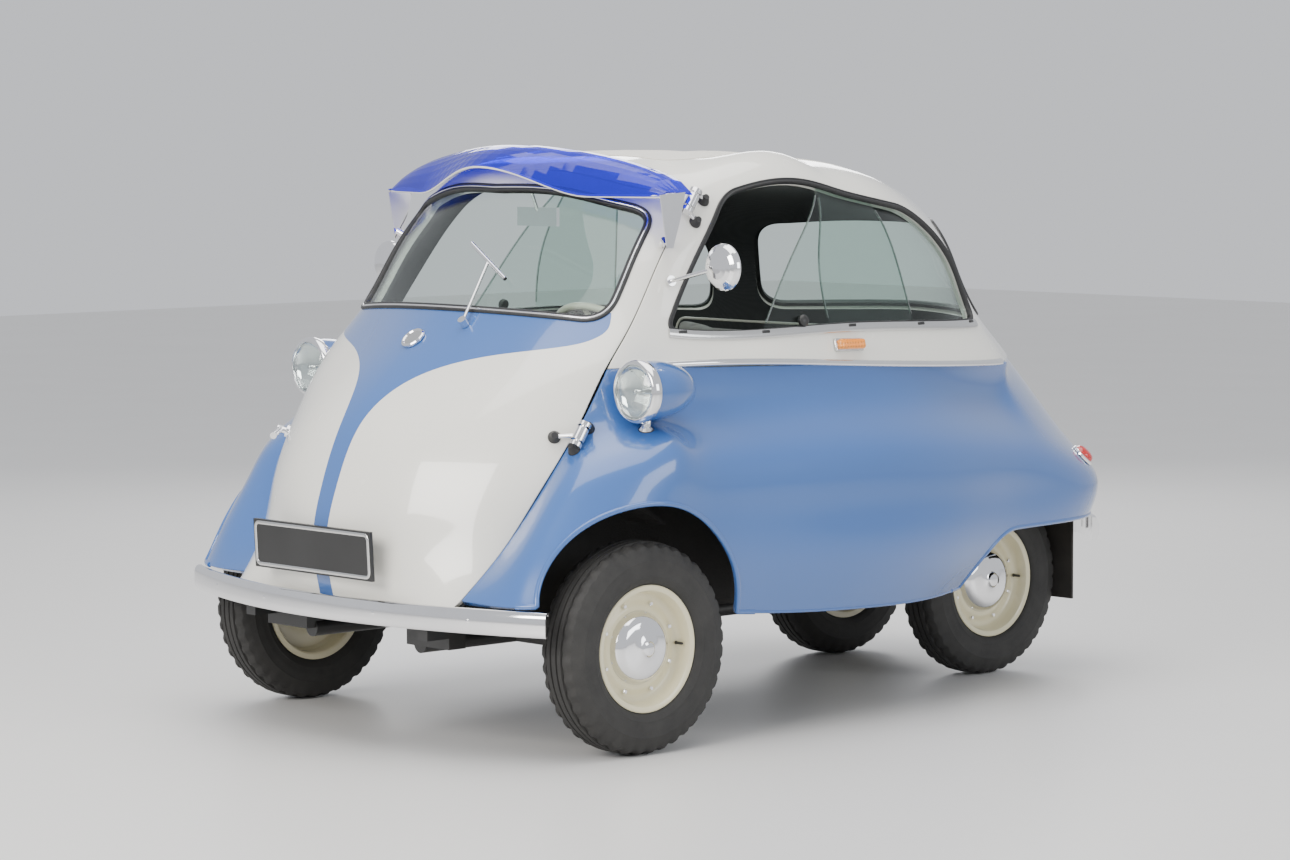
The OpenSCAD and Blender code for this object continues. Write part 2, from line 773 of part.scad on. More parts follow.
module door_badge() {
    p = cabin(0, 598);
    n = cabin_out(0, 598);
    set_down() color("silver") aim(p + 1.2 * n, n) cylinder(h = 5, r = 30);
}

module wiper() {
    p = cabin(120, 632);
    n = cabin_out(120, 632);
    blade_low = cabin(162, 742) + 11 * cabin_out(162, 742);
    blade_high = cabin(22, 830) + 11 * cabin_out(22, 830);
    middle = (blade_low + blade_high) / 2;
    set_down() color("silver") {
        aim(p + 1.4 * n, n) cylinder(h = 20, r = 10);
        aim(p + 14 * n, middle - p - 14 * n) cylinder(h = norm(middle - p - 14 * n), r = 4);
        aim(blade_low, blade_high - blade_low) cylinder(h = norm(blade_high - blade_low), r = 5);
    }
}

// The visor: a brow that rises over the roof's front edge and drops towards the windscreen.
visor_half = 486;
function visor_point(s, t) =
    let (
        rise = pow(max(0, 1 - s * s), 0.6),
        back = [-462 - 58 * (1 - s * s), 1243 + 100 * rise],
        ridge = [-548 - 62 * (1 - s * s), 1258 + 116 * rise],
        lift = pow(max(0, 1 - s * s / 0.38), 2),
        front = [-560 - 151 * (1 - sqrt(s * s + 0.02)), 1240 + 66 * lift],
        q = (1 - t) * (1 - t) * back + 2 * t * (1 - t) * ridge + t * t * front
    )
    sized([visor_half * s, q.x, q.y]);

module sun_visor() {
    set_down() color("mediumblue", 0.6)
        plate([for (s = steps(-1, 1, 32)) [for (t = steps(0, 1, 8)) visor_point(s, t)]], 0, 4);
}

// The polished plates that hold the visor's ends to the door's frame.
module visor_brackets() {
    x = visor_half * grow.x + 4;
    p = cabin(486, 872);
    n = cabin_out(486, 872);
    set_down() color("silver") both_sides() union() {
        translate([x, 0, 0]) rotate([90, 0, 90]) linear_extrude(3) polygon([
            for (q = [[-566, 1246], [-545, 1124], [-526, 1124], [-500, 1200], [-488, 1251]])
                [q.x * grow.y, q.y * grow.z]
        ]);
        aim(p + 1.6 * n, n) cylinder(h = 30, r = 8);
    }
}

// ---- Door hinges, on one line that leans back ----

hinge_off = 27;
hinge_low = cabin(door_u + 8, 376) + hinge_off * cabin_out(door_u + 8, 376);
hinge_high = cabin(door_u + 8, 984) + hinge_off * cabin_out(door_u + 8, 984);
hinge_way = unit(hinge_high - hinge_low);
pin_r = 7;
barrel_r = 15;
barrel_l = 32;
ear_l = 10;

// A foot on a surface with an arm from it to a hinge.
module hinge_arm(foot, out, to) {
    aim(foot + 2.4 * out, out) cylinder(h = 7, r = 9);
    rod([foot + 7 * out, to], 5);
}

// Each hinge: a pin and two ears on the body, with the door's barrel between them.
module door_hinges() {
    set_down() color("silver") for (h = [[hinge_low, 376], [hinge_high, 984]]) {
        difference() {
            union() {
                aim(h[0], hinge_way) translate([0, 0, -barrel_l / 2]) cylinder(h = barrel_l, r = barrel_r);
                hinge_arm(cabin(door_u - 38, h[1]), cabin_out(door_u - 38, h[1]), h[0]);
            }
            aim(h[0], hinge_way) translate([0, 0, -barrel_l]) cylinder(h = 2 * barrel_l, r = pin_r + run_fit);
        }
    }
}

module body_hinges() {
    ear = barrel_l / 2 + 5 + ear_l / 2;
    feet = [[wing(44, 380), wing_out(44, 380)], [wing(44, 428), wing_out(44, 428)],
        [cabin(door_u + 46, 928), cabin_out(door_u + 46, 928)],
        [cabin(door_u + 46, 986), cabin_out(door_u + 46, 986)]];
    set_down() color("silver") for (k = [0:3])
        let (
            h = k < 2 ? hinge_low : hinge_high,
            side = k % 2 == 0 ? -1 : 1,
            at = h + side * ear * hinge_way
        ) {
            aim(h, side * hinge_way) cylinder(h = ear + ear_l / 2, r = pin_r);
            aim(at, side * hinge_way) translate([0, 0, -ear_l / 2]) cylinder(h = ear_l, r = barrel_r);
            hinge_arm(feet[k][0], feet[k][1], at);
        }
}

hatch_pivot = flip(wing(1504, 250)) + 5 * [-1, 0, 0];

module engine_cover() {
    set_down() color("cornflowerblue") resize([0, 0, 0]) intersection() {
        plate(wing_grid(steps(2 * wing_end - 1840, 2 * wing_end - 1460, 12), steps(130, 370, 8)), 0, 5);
        wing_plug(inset(hatch_outline, 7), 20, 30);
    }
}

// ---- Chassis and wheels ----

beam_r = 26;
kingpin_x = front_track / 2 - 95;
boss_h = 64;
rear_arm_x = 140;

module chassis() {
    set_down() color("black") difference() {
        union() {
            both_sides() {
                translate([tube_gap / 2, -1040, axle_z - 4]) rotate([-90, 0, 0])
                    cylinder(h = 1440, r = tube_r);
                translate([0, -40, axle_z - 4]) rotate([0, 90, 0]) cylinder(h = tube_gap / 2, r = tube_r);
                translate([0, front_axle_y, axle_z]) rotate([0, 90, 0])
                    cylinder(h = kingpin_x - 24, r = beam_r);
                translate([kingpin_x, front_axle_y, axle_z - boss_h / 2]) cylinder(h = boss_h, r = 27);
                translate([0, 400, axle_z - 4]) rotate([0, 90, 0])
                    cylinder(h = tube_gap / 2 + tube_r, r = tube_r);
                translate([rear_arm_x - 14, 400, axle_z - 18]) cube([28, rear_axle_y - 400, 36]);
                translate([tube_gap / 2, 405, axle_z - 4]) cube([engine_in + 60 - tube_gap / 2, 40, 53.7]);
                translate([rear_arm_x - 20, rear_axle_y, axle_z]) rotate([0, 90, 0])
                    cylinder(h = 40, r = 34);
                translate([rear_arm_x - 14, rear_axle_y, axle_z - 10]) cube([28, 250, 20]);
                translate([300, front_bar_y(334) + 26, bumper_z - 56])
                    cube([34, -1060 - front_bar_y(334) - 26, 50]);
                translate([tube_gap / 2 - 16, -1066, axle_z - 4]) cube([150 - tube_gap / 2 + 200, 48, 46]);
                translate([tube_gap / 2 - 30, -jack_gap / 2 - 30, axle_z - 34]) cube([60, 60, 20]);
                translate([tube_gap / 2 - 30, jack_gap / 2 - 130, axle_z - 34]) cube([60, 60, 20]);
            }
        }
        both_sides() {
            translate([kingpin_x, front_axle_y, axle_z - 60])
                cylinder(h = 120, r = kingpin_r + run_fit);
            translate([rear_arm_x - 30, rear_axle_y, axle_z]) rotate([0, 90, 0])
                cylinder(h = 60, r = stub_r + run_fit);
        }
    }
}

ear_gap = 5;
ear_t = 14;
upright_x = 36;
upright_t = 14;

module knuckle() {
    translate([kingpin_x, front_axle_y, axle_z]) color("dimgray") union() {
        translate([0, 0, -boss_h / 2 - ear_gap - ear_t])
            cylinder(h = boss_h + 2 * (ear_gap + ear_t), r = kingpin_r);
        for (z = [boss_h / 2 + ear_gap, -boss_h / 2 - ear_gap - ear_t]) {
            translate([0, 0, z]) cylinder(h = ear_t, r = 24);
            translate([0, -20, z]) cube([upright_x + upright_t, 40, ear_t]);
        }
        translate([upright_x, -30, -boss_h / 2 - ear_gap - ear_t])
            cube([upright_t, 60, boss_h + 2 * (ear_gap + ear_t)]);
        translate([upright_x, 0, 0]) rotate([0, 90, 0]) cylinder(h = 95 - upright_x + 34, r = stub_r);
        translate([-10, 18, -boss_h / 2 - ear_gap - ear_t]) cube([20, 100, ear_t]);
    }
}

module left_knuckle() {
    set_down() knuckle();
}

module right_knuckle() {
    set_down() mirror([1, 0, 0]) knuckle();
}

rim_w = 95;
seat_r = rim_r - 12;

// A tyre, a rim and a cap, drawn about +X with the outside of the wheel towards +X.
module tyre() {
    half = tyre_w / 2;
    rotate([0, 90, 0]) rotate_extrude($fn = 72) polygon([[seat_r, -rim_w / 2 + 5.3],
        [rim_r + 0.3, -rim_w / 2 + 4.3], [rim_r + 4, -rim_w / 2 - 2],
        [rim_r + 18, -half + 3], [rim_r + 40, -half], [tyre_r - 26, -half + 4], [tyre_r - 9, -half + 11],
        [tyre_r - 2, -half + 22], [tyre_r, -half + 36], [tyre_r, half - 36], [tyre_r - 2, half - 22],
        [tyre_r - 9, half - 11], [tyre_r - 26, half - 4], [rim_r + 40, half], [rim_r + 18, half - 3],
        [rim_r + 4, rim_w / 2 + 2],
        [rim_r + 0.3, rim_w / 2 - 4.3], [seat_r, rim_w / 2 - 5.3]]);
}

hub_r = 34;
cap_r = 84;

module rim(bore) {
    rotate([0, 90, 0]) rotate_extrude($fn = 72) polygon([[bore, -26], [hub_r, -26], [hub_r, 6],
        [96, 6], [seat_r - 10, -8], [seat_r - 8, -rim_w / 2], [rim_r, -rim_w / 2], [rim_r, -rim_w / 2 + 4],
        [seat_r, -rim_w / 2 + 5], [seat_r, rim_w / 2 - 5], [rim_r, rim_w / 2 - 4], [rim_r, rim_w / 2],
        [seat_r - 6, rim_w / 2], [seat_r - 8, 0], [96, 14], [cap_r, 14], [cap_r - 1, 20],
        [cap_r - 8, 32], [cap_r - 24, 42], [24, 46], [20, 54], [0, 55], [0, 36], [bore, 36]]);
}

module front_wheel_at(side) {
    translate([side * front_track / 2, front_axle_y, axle_z]) mirror([side < 0 ? 1 : 0, 0, 0]) children();
}

module left_front_tyre() {
    set_down() color("#222222") front_wheel_at(1) tyre();
}

module right_front_tyre() {
    set_down() color("#222222") front_wheel_at(-1) tyre();
}

module left_front_rim() {
    set_down() color("cornsilk") front_wheel_at(1) rim(stub_r + run_fit);
}

module right_front_rim() {
    set_down() color("cornsilk") front_wheel_at(-1) rim(stub_r + run_fit);
}

module rear_axle() {
    reach = rear_track / 2 + 36;
    set_down() color("dimgray") translate([-reach, rear_axle_y, axle_z]) rotate([0, 90, 0])
        cylinder(h = 2 * reach, r = stub_r);
}

module rear_tyres() {
    set_down() color("#222222") both_sides() translate([rear_track / 2, rear_axle_y, axle_z]) tyre();
}

module rear_rims() {
    set_down() color("cornsilk") both_sides() translate([rear_track / 2, rear_axle_y, axle_z]) rim(stub_r);
}

engine_in = rear_track / 2 + tyre_w / 2 + 16;

module engine_block() {
    set_down() color("gray") translate([-engine_in - 145, 420, axle_z + 50]) cube([145, 220, 226]);
}

silencer_r = 45;

module exhaust() {
    set_down() color("dimgray") translate([-150, 900, axle_z + 10.3 + silencer_r])
        rotate([0, 90, 0]) cylinder(h = 300, r = silencer_r);
}

module mudflaps() {
    set_down() color("black") both_sides()
        translate([rear_track / 2 - 70, 1000, 175]) cube([164, 6, skirt_z - 0.3 - 175]);
}

// ---- Seat and controls ----

seat_half = 434;
seat_y = -40;
seat_z = 560;

module seat_frame() {
    set_down() color("dimgray") {
        both_sides() translate([seat_half - 40, seat_y, floor_z]) cube([24, 380, seat_z - 110 - floor_z]);
        translate([-seat_half + 16, seat_y, seat_z - 110]) cube([2 * seat_half - 32, 380, 12]);
    }
}

module seat_cushion() {
    set_down() color("lightgray") translate([-seat_half, seat_y - 10, seat_z - 97.7])
        cube([2 * seat_half, 400, 110]);
}

module seat_backrest() {
    set_down() color("lightgray") translate([-seat_half, 300, seat_z + 12.3]) rotate([-10, 0, 0])
        translate([0, -30, 7.4]) cube([2 * seat_half, 70, 330]);
}

column_low = [240, -830, 470];
helm_at = [240, -446, 850];
helm_way = unit(helm_at - column_low);
column_l = norm(helm_at - column_low) - 8;
column_r = 11;
pod_r = 56;

// A point inside the door, its wall's thickness below the surface.
function door_inside(u, v) = cabin(u, v) - (door_wall + 1.6) * cabin_out(u, v);

// The speedometer's pod on its arm from the door, with the column's bearing below it.
module instrument_pod() {
    root = door_inside(255, 500);
    way = -cabin_out(255, 500);
    bearing = column_low + 0.42 * (helm_at - column_low);
    set_down() color("ivory") difference() {
        union() {
            aim(root, way) cylinder(h = 8, r = 18);
            aim(root + 4 * way, way) cylinder(h = 106, r = 16);
            rod([root + 100 * way, bearing], 11);
            translate(root + [-8, 108, 2]) rotate([-80, 0, 0]) cylinder(h = 84, r1 = pod_r - 12, r2 = pod_r);
            aim(bearing, helm_way) translate([0, 0, -18]) cylinder(h = 36, r = 21);
        }
        aim(column_low, helm_way) cylinder(h = column_l, r = column_r + run_fit);
    }
}

// Three pedals hinged at the floor.
module pedals() {
    set_down() color("dimgray") for (x = [170, 250, 330]) {
        translate([x - 12, -930, floor_z + 0.3]) cube([24, 40, 10]);
        rod([[x, -910, floor_z + 6], [x, -935, floor_z + 120]], 6);
        translate([x - 24, -941, floor_z + 110]) rotate([-20, 0, 0]) cube([48, 8, 60]);
    }
}

// The driving mirror hangs from the door's top rail.
module interior_mirror() {
    root = door_inside(70, 1018);
    way = -cabin_out(70, 1018);
    set_down() color("silver") union() {
        aim(root + 0.8 * way, way) cylinder(h = 9, r = 7);
        rod([root + 9 * way, root + [0, 30, -62]], 4);
        translate(root + [-70, 26, -96]) cube([140, 10, 44]);
    }
}

// The lever that opens the door, on its free side.
module door_handle() {
    p = cabin(-450, 330);
    n = cabin_out(-450, 330);
    set_down() color("silver") union() {
        aim(p + 0.9 * n, n) cylinder(h = 10, r = 18);
        aim(p + 0.9 * n, n) cylinder(h = 34, r = 9);
        rod([p + 28 * n, cabin(-350, 322) + 30 * cabin_out(-350, 322)], 8);
    }
}

module steering_wheel() {
    set_down() color("ivory") aim(helm_at, helm_way) union() {
        rotate_extrude($fn = 72) translate([helm_r, 0]) circle(r = 9, $fn = 24);
        for (a = [90, 210, 330]) rotate([0, 0, a]) rotate([0, 90, 0]) cylinder(h = helm_r, r = 7);
        translate([0, 0, -18]) cylinder(h = 30, r = 32);
        translate([0, 0, -column_l]) cylinder(h = column_l, r = column_r);
    }
}

module lower_column() {
    foot = [column_low.x, column_low.y - 30, floor_z + 0.3];
    set_down() color("dimgray") union() {
        translate(foot) cylinder(h = 14, r = 24);
        rod([foot + [0, 0, 8], column_low], 12);
    }
}

gate_x = inner_wide * grow.x - 0.3;

module gear_lever() {
    set_down() color("black") union() {
        translate([gate_x - 36, -276, 430]) cube([36, 52, 90]);
        rod([[gate_x - 20, -250, 500], [gate_x - 46, -250, 600]], 6);
        translate([gate_x - 48, -250, 608]) sphere(r = 17);
    }
}

upper_body();
lower_body();
front_door();
windscreen_glass();
windscreen_seal();
side_glass();
side_window_seals();
rear_glass();
rear_window_seal();
sunroof();
belt_trim();
inner_sides();
floor_pan();
rear_bulkhead();
wheel_liners();
headlamp_pods();
headlamp_rims();
headlamp_lenses();
mirrors();
side_indicators();
tail_lamps();
front_bumper();
rear_bumpers();
front_plate();
rear_plate();
door_badge();
wiper();
sun_visor();
visor_brackets();
door_hinges();
body_hinges();
engine_cover();
chassis();
engine_block();
exhaust();
left_knuckle();
right_knuckle();
left_front_tyre();
right_front_tyre();
left_front_rim();
right_front_rim();
rear_axle();
rear_tyres();
rear_rims();
seat_frame();
seat_cushion();
seat_backrest();
instrument_pod();
steering_wheel();
lower_column();
gear_lever();
mudflaps();
pedals();
interior_mirror();
door_handle();
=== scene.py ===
import bpy, math
import numpy as np
from mathutils import Vector, Matrix
from mathutils.geometry import delaunay_2d_cdt


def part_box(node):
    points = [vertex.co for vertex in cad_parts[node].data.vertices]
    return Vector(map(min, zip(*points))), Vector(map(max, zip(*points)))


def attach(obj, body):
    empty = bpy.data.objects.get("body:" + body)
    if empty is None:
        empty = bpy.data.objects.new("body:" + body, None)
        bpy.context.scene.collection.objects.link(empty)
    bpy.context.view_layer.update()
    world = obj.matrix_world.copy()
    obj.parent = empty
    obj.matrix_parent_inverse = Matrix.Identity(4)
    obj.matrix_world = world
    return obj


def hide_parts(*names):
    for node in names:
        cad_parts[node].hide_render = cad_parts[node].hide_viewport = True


# Bubble car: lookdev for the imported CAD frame. Metres, +Z up, the nose looks along -Y.
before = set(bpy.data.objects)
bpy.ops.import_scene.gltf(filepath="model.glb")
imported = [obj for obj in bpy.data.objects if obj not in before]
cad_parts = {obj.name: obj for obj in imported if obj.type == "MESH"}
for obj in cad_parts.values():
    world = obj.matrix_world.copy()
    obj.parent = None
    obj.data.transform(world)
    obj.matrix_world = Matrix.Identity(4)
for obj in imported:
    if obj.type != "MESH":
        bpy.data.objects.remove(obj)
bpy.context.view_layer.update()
print("frame loaded:", len(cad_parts), "CAD nodes")


# camera, light and floor

studio = {
    "cameraAt": (7.206, -6.704, 1.463),
    "cameraAim": (0.506, -0.578, 0.715),
    "cameraRoll": -0.2,
    "lens": 112.1,
    "floorColour": (0.80, 0.79, 0.77, 1),
    "worldColour": (0.93, 0.95, 1.0, 1),
    "worldStrength": 0.80,
}


def addCamera():
    data = bpy.data.cameras.new("camera")
    data.lens = studio["lens"]
    data.sensor_width = 36.0
    data.clip_end = 60.0
    camera = bpy.data.objects.new("camera", data)
    bpy.context.scene.collection.objects.link(camera)
    at, aim = Vector(studio["cameraAt"]), Vector(studio["cameraAim"])
    turn = (aim - at).to_track_quat("-Z", "Y").to_matrix().to_4x4()
    roll = Matrix.Rotation(math.radians(studio["cameraRoll"]), 4, "Z")
    camera.matrix_world = Matrix.Translation(at) @ turn @ roll
    bpy.context.scene.camera = camera


def addLight(name, at, aim, size, power, colour=(1, 1, 1)):
    data = bpy.data.lights.new(name, "AREA")
    data.shape = "RECTANGLE"
    data.size, data.size_y = size
    data.energy = power
    data.color = colour
    lamp = bpy.data.objects.new(name, data)
    bpy.context.scene.collection.objects.link(lamp)
    at = Vector(at)
    lamp.matrix_world = Matrix.Translation(at) @ (Vector(aim) - at).to_track_quat("-Z",
            "Y").to_matrix().to_4x4()


def addStudio():
    world = bpy.data.worlds.new("studio")
    world.use_nodes = True
    sky = world.node_tree.nodes["Background"]
    sky.inputs["Color"].default_value = studio["worldColour"]
    sky.inputs["Strength"].default_value = studio["worldStrength"]
    bpy.context.scene.world = world
    addLight("overhead", (0.3, -0.4, 4.2), (0, 0, 0.6), (3.6, 4.6), 165, (1, 0.98, 0.95))
    addLight("keyLight", (1.2, -5.6, 2.9), (0, -0.4, 0.6), (3.0, 2.2), 250, (1, 0.97, 0.93))
    addLight("sideLight", (5.2, 0.6, 2.0), (0.3, 0.2, 0.6), (3.4, 1.6), 70, (0.95, 0.98, 1))
    addLight("backLight", (-3.8, 3.6, 2.8), (0, 0.3, 0.8), (2.6, 1.8), 90)


addCamera()
addStudio()
print("camera and lights placed")


# materials: one small class for shader maths, one method for every other node


class Wire:
    def __init__(self, shader, socket):
        self.shader, self.socket = shader, socket

    def maths(self, operation, other=None, swap=False):
        pair = [self, other] if not swap else [other, self]
        return self.shader.node("ShaderNodeMath", {"operation": operation},
                pair if other is not None else [self])

    def __add__(self, other):
        return self.maths("ADD", other)

    def __radd__(self, other):
        return self.maths("ADD", other, True)

    def __sub__(self, other):
        return self.maths("SUBTRACT", other)

    def __rsub__(self, other):
        return self.maths("SUBTRACT", other, True)

    def __mul__(self, other):
        return self.maths("MULTIPLY", other)

    def __rmul__(self, other):
        return self.maths("MULTIPLY", other, True)

    def __pow__(self, other):
        return self.maths("POWER", other)

    def sine(self):
        return self.maths("SINE")


class Shader:
    def __init__(self, name):
        self.material = bpy.data.materials.new(name)
        self.material.use_nodes = True
        self.tree = self.material.node_tree
        self.tree.nodes.clear()
        self.bsdf = self.tree.nodes.new("ShaderNodeBsdfPrincipled")
        self.output = self.tree.nodes.new("ShaderNodeOutputMaterial")
        self.tree.links.new(self.bsdf.outputs[0], self.output.inputs[0])

    # adds any node: its settings first, then the values or links of its sockets
    def node(self, kind, settings=None, sockets=None, out=0):
        made = self.tree.nodes.new(kind)
        for key, value in (settings or {}).items():
            setattr(made, key, value)
        pairs = sockets.items() if isinstance(sockets, dict) else enumerate(sockets or [])
        for key, value in pairs:
            if value is not None:
                self.put(made.inputs[key], value)
        return Wire(self, made.outputs[out])

    def put(self, socket, value):
        if isinstance(value, Wire):
            self.tree.links.new(value.socket, socket)
        else:
            socket.default_value = value

    def set(self, **values):
        names = {"colour": "Base Color", "rough": "Roughness", "metal": "Metallic", "coat": "Coat Weight",
                 "coatRough": "Coat Roughness", "alpha": "Alpha", "normal": "Normal", "ior": "IOR",
                 "specular": "Specular IOR Level", "transmit": "Transmission Weight", "sheen": "Sheen Weight",
                 "sheenRough": "Sheen Roughness", "glow": "Emission Color", "glowPower": "Emission Strength"}
        for key, value in values.items():
            self.put(self.bsdf.inputs[names[key]], value)
        return self

    def place(self):
        return self.node("ShaderNodeTexCoord", out=3)

    def axes(self):
        split = self.node("ShaderNodeSeparateXYZ", None, [self.place()])
        outs = split.socket.node.outputs
        return Wire(self, outs[0]), Wire(self, outs[1]), Wire(self, outs[2])

    def noise(self, scale, detail=3.0, rough=0.5):
        return self.node("ShaderNodeTexNoise", None,
                         {"Vector": self.place(), "Scale": scale, "Detail": detail, "Roughness": rough})

    def blend(self, factor, a, b):
        made = self.tree.nodes.new("ShaderNodeMix")
        made.data_type = "RGBA"
        self.put(made.inputs[0], factor)
        self.put(made.inputs[6], a)
        self.put(made.inputs[7], b)
        return Wire(self, made.outputs[2])

    def bump(self, height, distance, strength=1.0, under=None):
        return self.node("ShaderNodeBump", None,
                {"Height": height, "Distance": distance, "Strength": strength,
                                                  "Normal": under})


def shade(colour, factor):
    return (colour[0] * factor, colour[1] * factor, colour[2] * factor, 1)


paints = {
    "creamWhite": (0.86, 0.845, 0.775, 1),
    "skyBlue": (0.046, 0.138, 0.41, 1),
    "ivoryWheel": (0.74, 0.68, 0.46, 1),
    "chassisBlack": (0.018, 0.018, 0.018, 1),
}
mats = {}


def paintMaterial(name, colour, rough=0.16, coat=1.0, fleck=0.05, peel=0.00012):
    s = Shader(name)
    cloud = s.noise(2.3, 4)
    fine = s.noise(900.0, 2)
    tint = s.blend(cloud, shade(colour, 1 - fleck), shade(colour, 1 + fleck))
    tint = s.blend(fine * 0.10, tint, shade(colour, 0.86))
    dust = s.noise(14.0, 6, 0.6)
    orange = s.noise(160.0, 2)
    s.set(colour=tint, rough=rough + 0.08 * dust, coat=coat, coatRough=0.045, normal=s.bump(orange, peel,
            0.35))
    mats[name] = s.material
    return s


def makePaints():
    paintMaterial("creamWhite", paints["creamWhite"], 0.22)
    paintMaterial("skyBlue", paints["skyBlue"], 0.2)
    paintMaterial("ivoryWheel", paints["ivoryWheel"], 0.25, 0.7)
    paintMaterial("chassisBlack", paints["chassisBlack"], 0.42, 0.25, 0.3, 0.0004)
    paintMaterial("ivoryPlastic", (0.72, 0.68, 0.55, 1), 0.24, 0.5)


def chromeMaterial(name, rough=0.05, tint=(0.93, 0.93, 0.94, 1), smear=0.09):
    s = Shader(name)
    smudge = s.noise(9.0, 6, 0.65)
    pits = s.noise(420.0, 2)
    s.set(colour=s.blend(smudge, tint, shade(tint, 0.86)), metal=1.0, rough=rough + smear * smudge * smudge,
          normal=s.bump(pits, 0.00003, 0.4))
    mats[name] = s.material


def makeMetals():
    chromeMaterial("chrome")
    chromeMaterial("polishedSteel", 0.16, (0.74, 0.74, 0.73, 1), 0.2)
    chromeMaterial("castMetal", 0.5, (0.22, 0.21, 0.2, 1), 0.35)
    chromeMaterial("reflector", 0.04, (0.96, 0.96, 0.94, 1), 0.03)


def makeRubbers():
    s = Shader("sealRubber")
    dust = s.noise(30.0, 5, 0.6)
    s.set(colour=s.blend(dust, (0.010, 0.010, 0.011, 1), (0.032, 0.032, 0.033, 1)), rough=0.38 + 0.22 * dust,
          normal=s.bump(s.noise(700.0, 2), 0.0001, 0.5))
    mats["sealRubber"] = s.material
    s = Shader("tyreRubber")
    x, y, z = s.axes()
    dust = s.noise(16.0, 7, 0.65)
    fine = s.noise(520.0, 3)
    s.set(colour=s.blend(dust, (0.011, 0.011, 0.011, 1), (0.045, 0.043, 0.040, 1)), rough=0.62 + 0.2 * fine,
          normal=s.bump(fine, 0.0003, 0.6))
    mats["tyreRubber"] = s.material
    s = Shader("mudRubber")
    dust = s.noise(11.0, 6, 0.6)
    s.set(colour=s.blend(dust, (0.016, 0.016, 0.016, 1), (0.07, 0.062, 0.052, 1)), rough=0.75,
          normal=s.bump(s.noise(260.0, 3), 0.0004, 0.6))
    mats["mudRubber"] = s.material
    s = Shader("underSeal")
    lumps = s.noise(150.0, 5, 0.7)
    s.set(colour=s.blend(lumps, (0.008, 0.008, 0.008, 1), (0.030, 0.028, 0.026, 1)), rough=0.7 + 0.2 * lumps,
          normal=s.bump(lumps, 0.0015, 0.7))
    mats["underSeal"] = s.material


def makePlastics():
    s = Shader("blackPlastic")
    grain = s.noise(620.0, 3)
    s.set(colour=s.blend(s.noise(7.0, 5), (0.012, 0.012, 0.012, 1), (0.028, 0.028, 0.028, 1)),
          rough=0.28 + 0.2 * grain, normal=s.bump(grain, 0.0002, 0.5))
    mats["blackPlastic"] = s.material
    for name, colour in (("amberLens", (0.95, 0.30, 0.012, 1)), ("redLens", (0.55, 0.008, 0.008, 1))):
        s = Shader(name)
        x, y, z = s.axes()
        flute = ((y * 700.0).sine() * 0.5 + 0.5) * ((z * 700.0).sine() * 0.5 + 0.5)
        s.set(colour=s.blend(flute, colour, shade(colour, 0.62)), rough=0.09 + 0.05 * s.noise(20.0),
              coat=1.0, coatRough=0.03, normal=s.bump(flute, 0.0012, 0.7), glow=s.blend(flute, colour,
                      shade(colour, 0.5)),
              glowPower=0.18)
        mats[name] = s.material


# clear stock: a tinted Transparent shader under a glossy one, mixed by the angle of view
def clearMaterial(name, through, gloss=0.02, base=0.03):
    s = Shader(name)
    haze = s.noise(5.0, 5, 0.6)
    s.set(colour=s.blend(haze, (0.9, 0.93, 0.93, 1), (0.82, 0.87, 0.88, 1)), rough=gloss + 0.03 * haze,
            metal=0.0,
          specular=1.0)
    see = s.tree.nodes.new("ShaderNodeBsdfTransparent")
    see.inputs[0].default_value = through
    facing = s.node("ShaderNodeLayerWeight", None, {"Blend": 0.5}, out=1)
    mix = s.tree.nodes.new("ShaderNodeMixShader")
    s.put(mix.inputs[0], facing ** 5.0 * 0.8 + base)
    s.tree.links.new(see.outputs[0], mix.inputs[1])
    glossy = s.tree.nodes.new("ShaderNodeBsdfGlossy")
    glossy.inputs["Roughness"].default_value = gloss
    s.tree.links.new(glossy.outputs[0], mix.inputs[2])
    s.tree.links.new(mix.outputs[0], s.output.inputs[0])
    mats[name] = s.material
    return s, mix


def makeClears():
    clearMaterial("windowGlass", (0.90, 0.95, 0.93, 1))
    clearMaterial("edgeGlass", (0.62, 0.72, 0.68, 1), 0.2, 0.35)
    clearMaterial("lampGlass", (0.93, 0.96, 0.96, 1), 0.03, 0.10)
    # the blue acrylic scatters a little, so it glows against the light
    s, mix = clearMaterial("blueAcrylic", (0.10, 0.11, 0.86, 1), 0.03, 0.02)
    body = s.tree.nodes.new("ShaderNodeMixShader")
    body.inputs[0].default_value = 0.34
    s.set(colour=s.blend(s.noise(4.0, 3), (0.012, 0.016, 0.50, 1), (0.02, 0.024, 0.60, 1)), rough=0.12)
    s.tree.links.new(mix.outputs[0], body.inputs[1])
    s.tree.links.new(s.bsdf.outputs[0], body.inputs[2])
    s.tree.links.new(body.outputs[0], s.output.inputs[0])


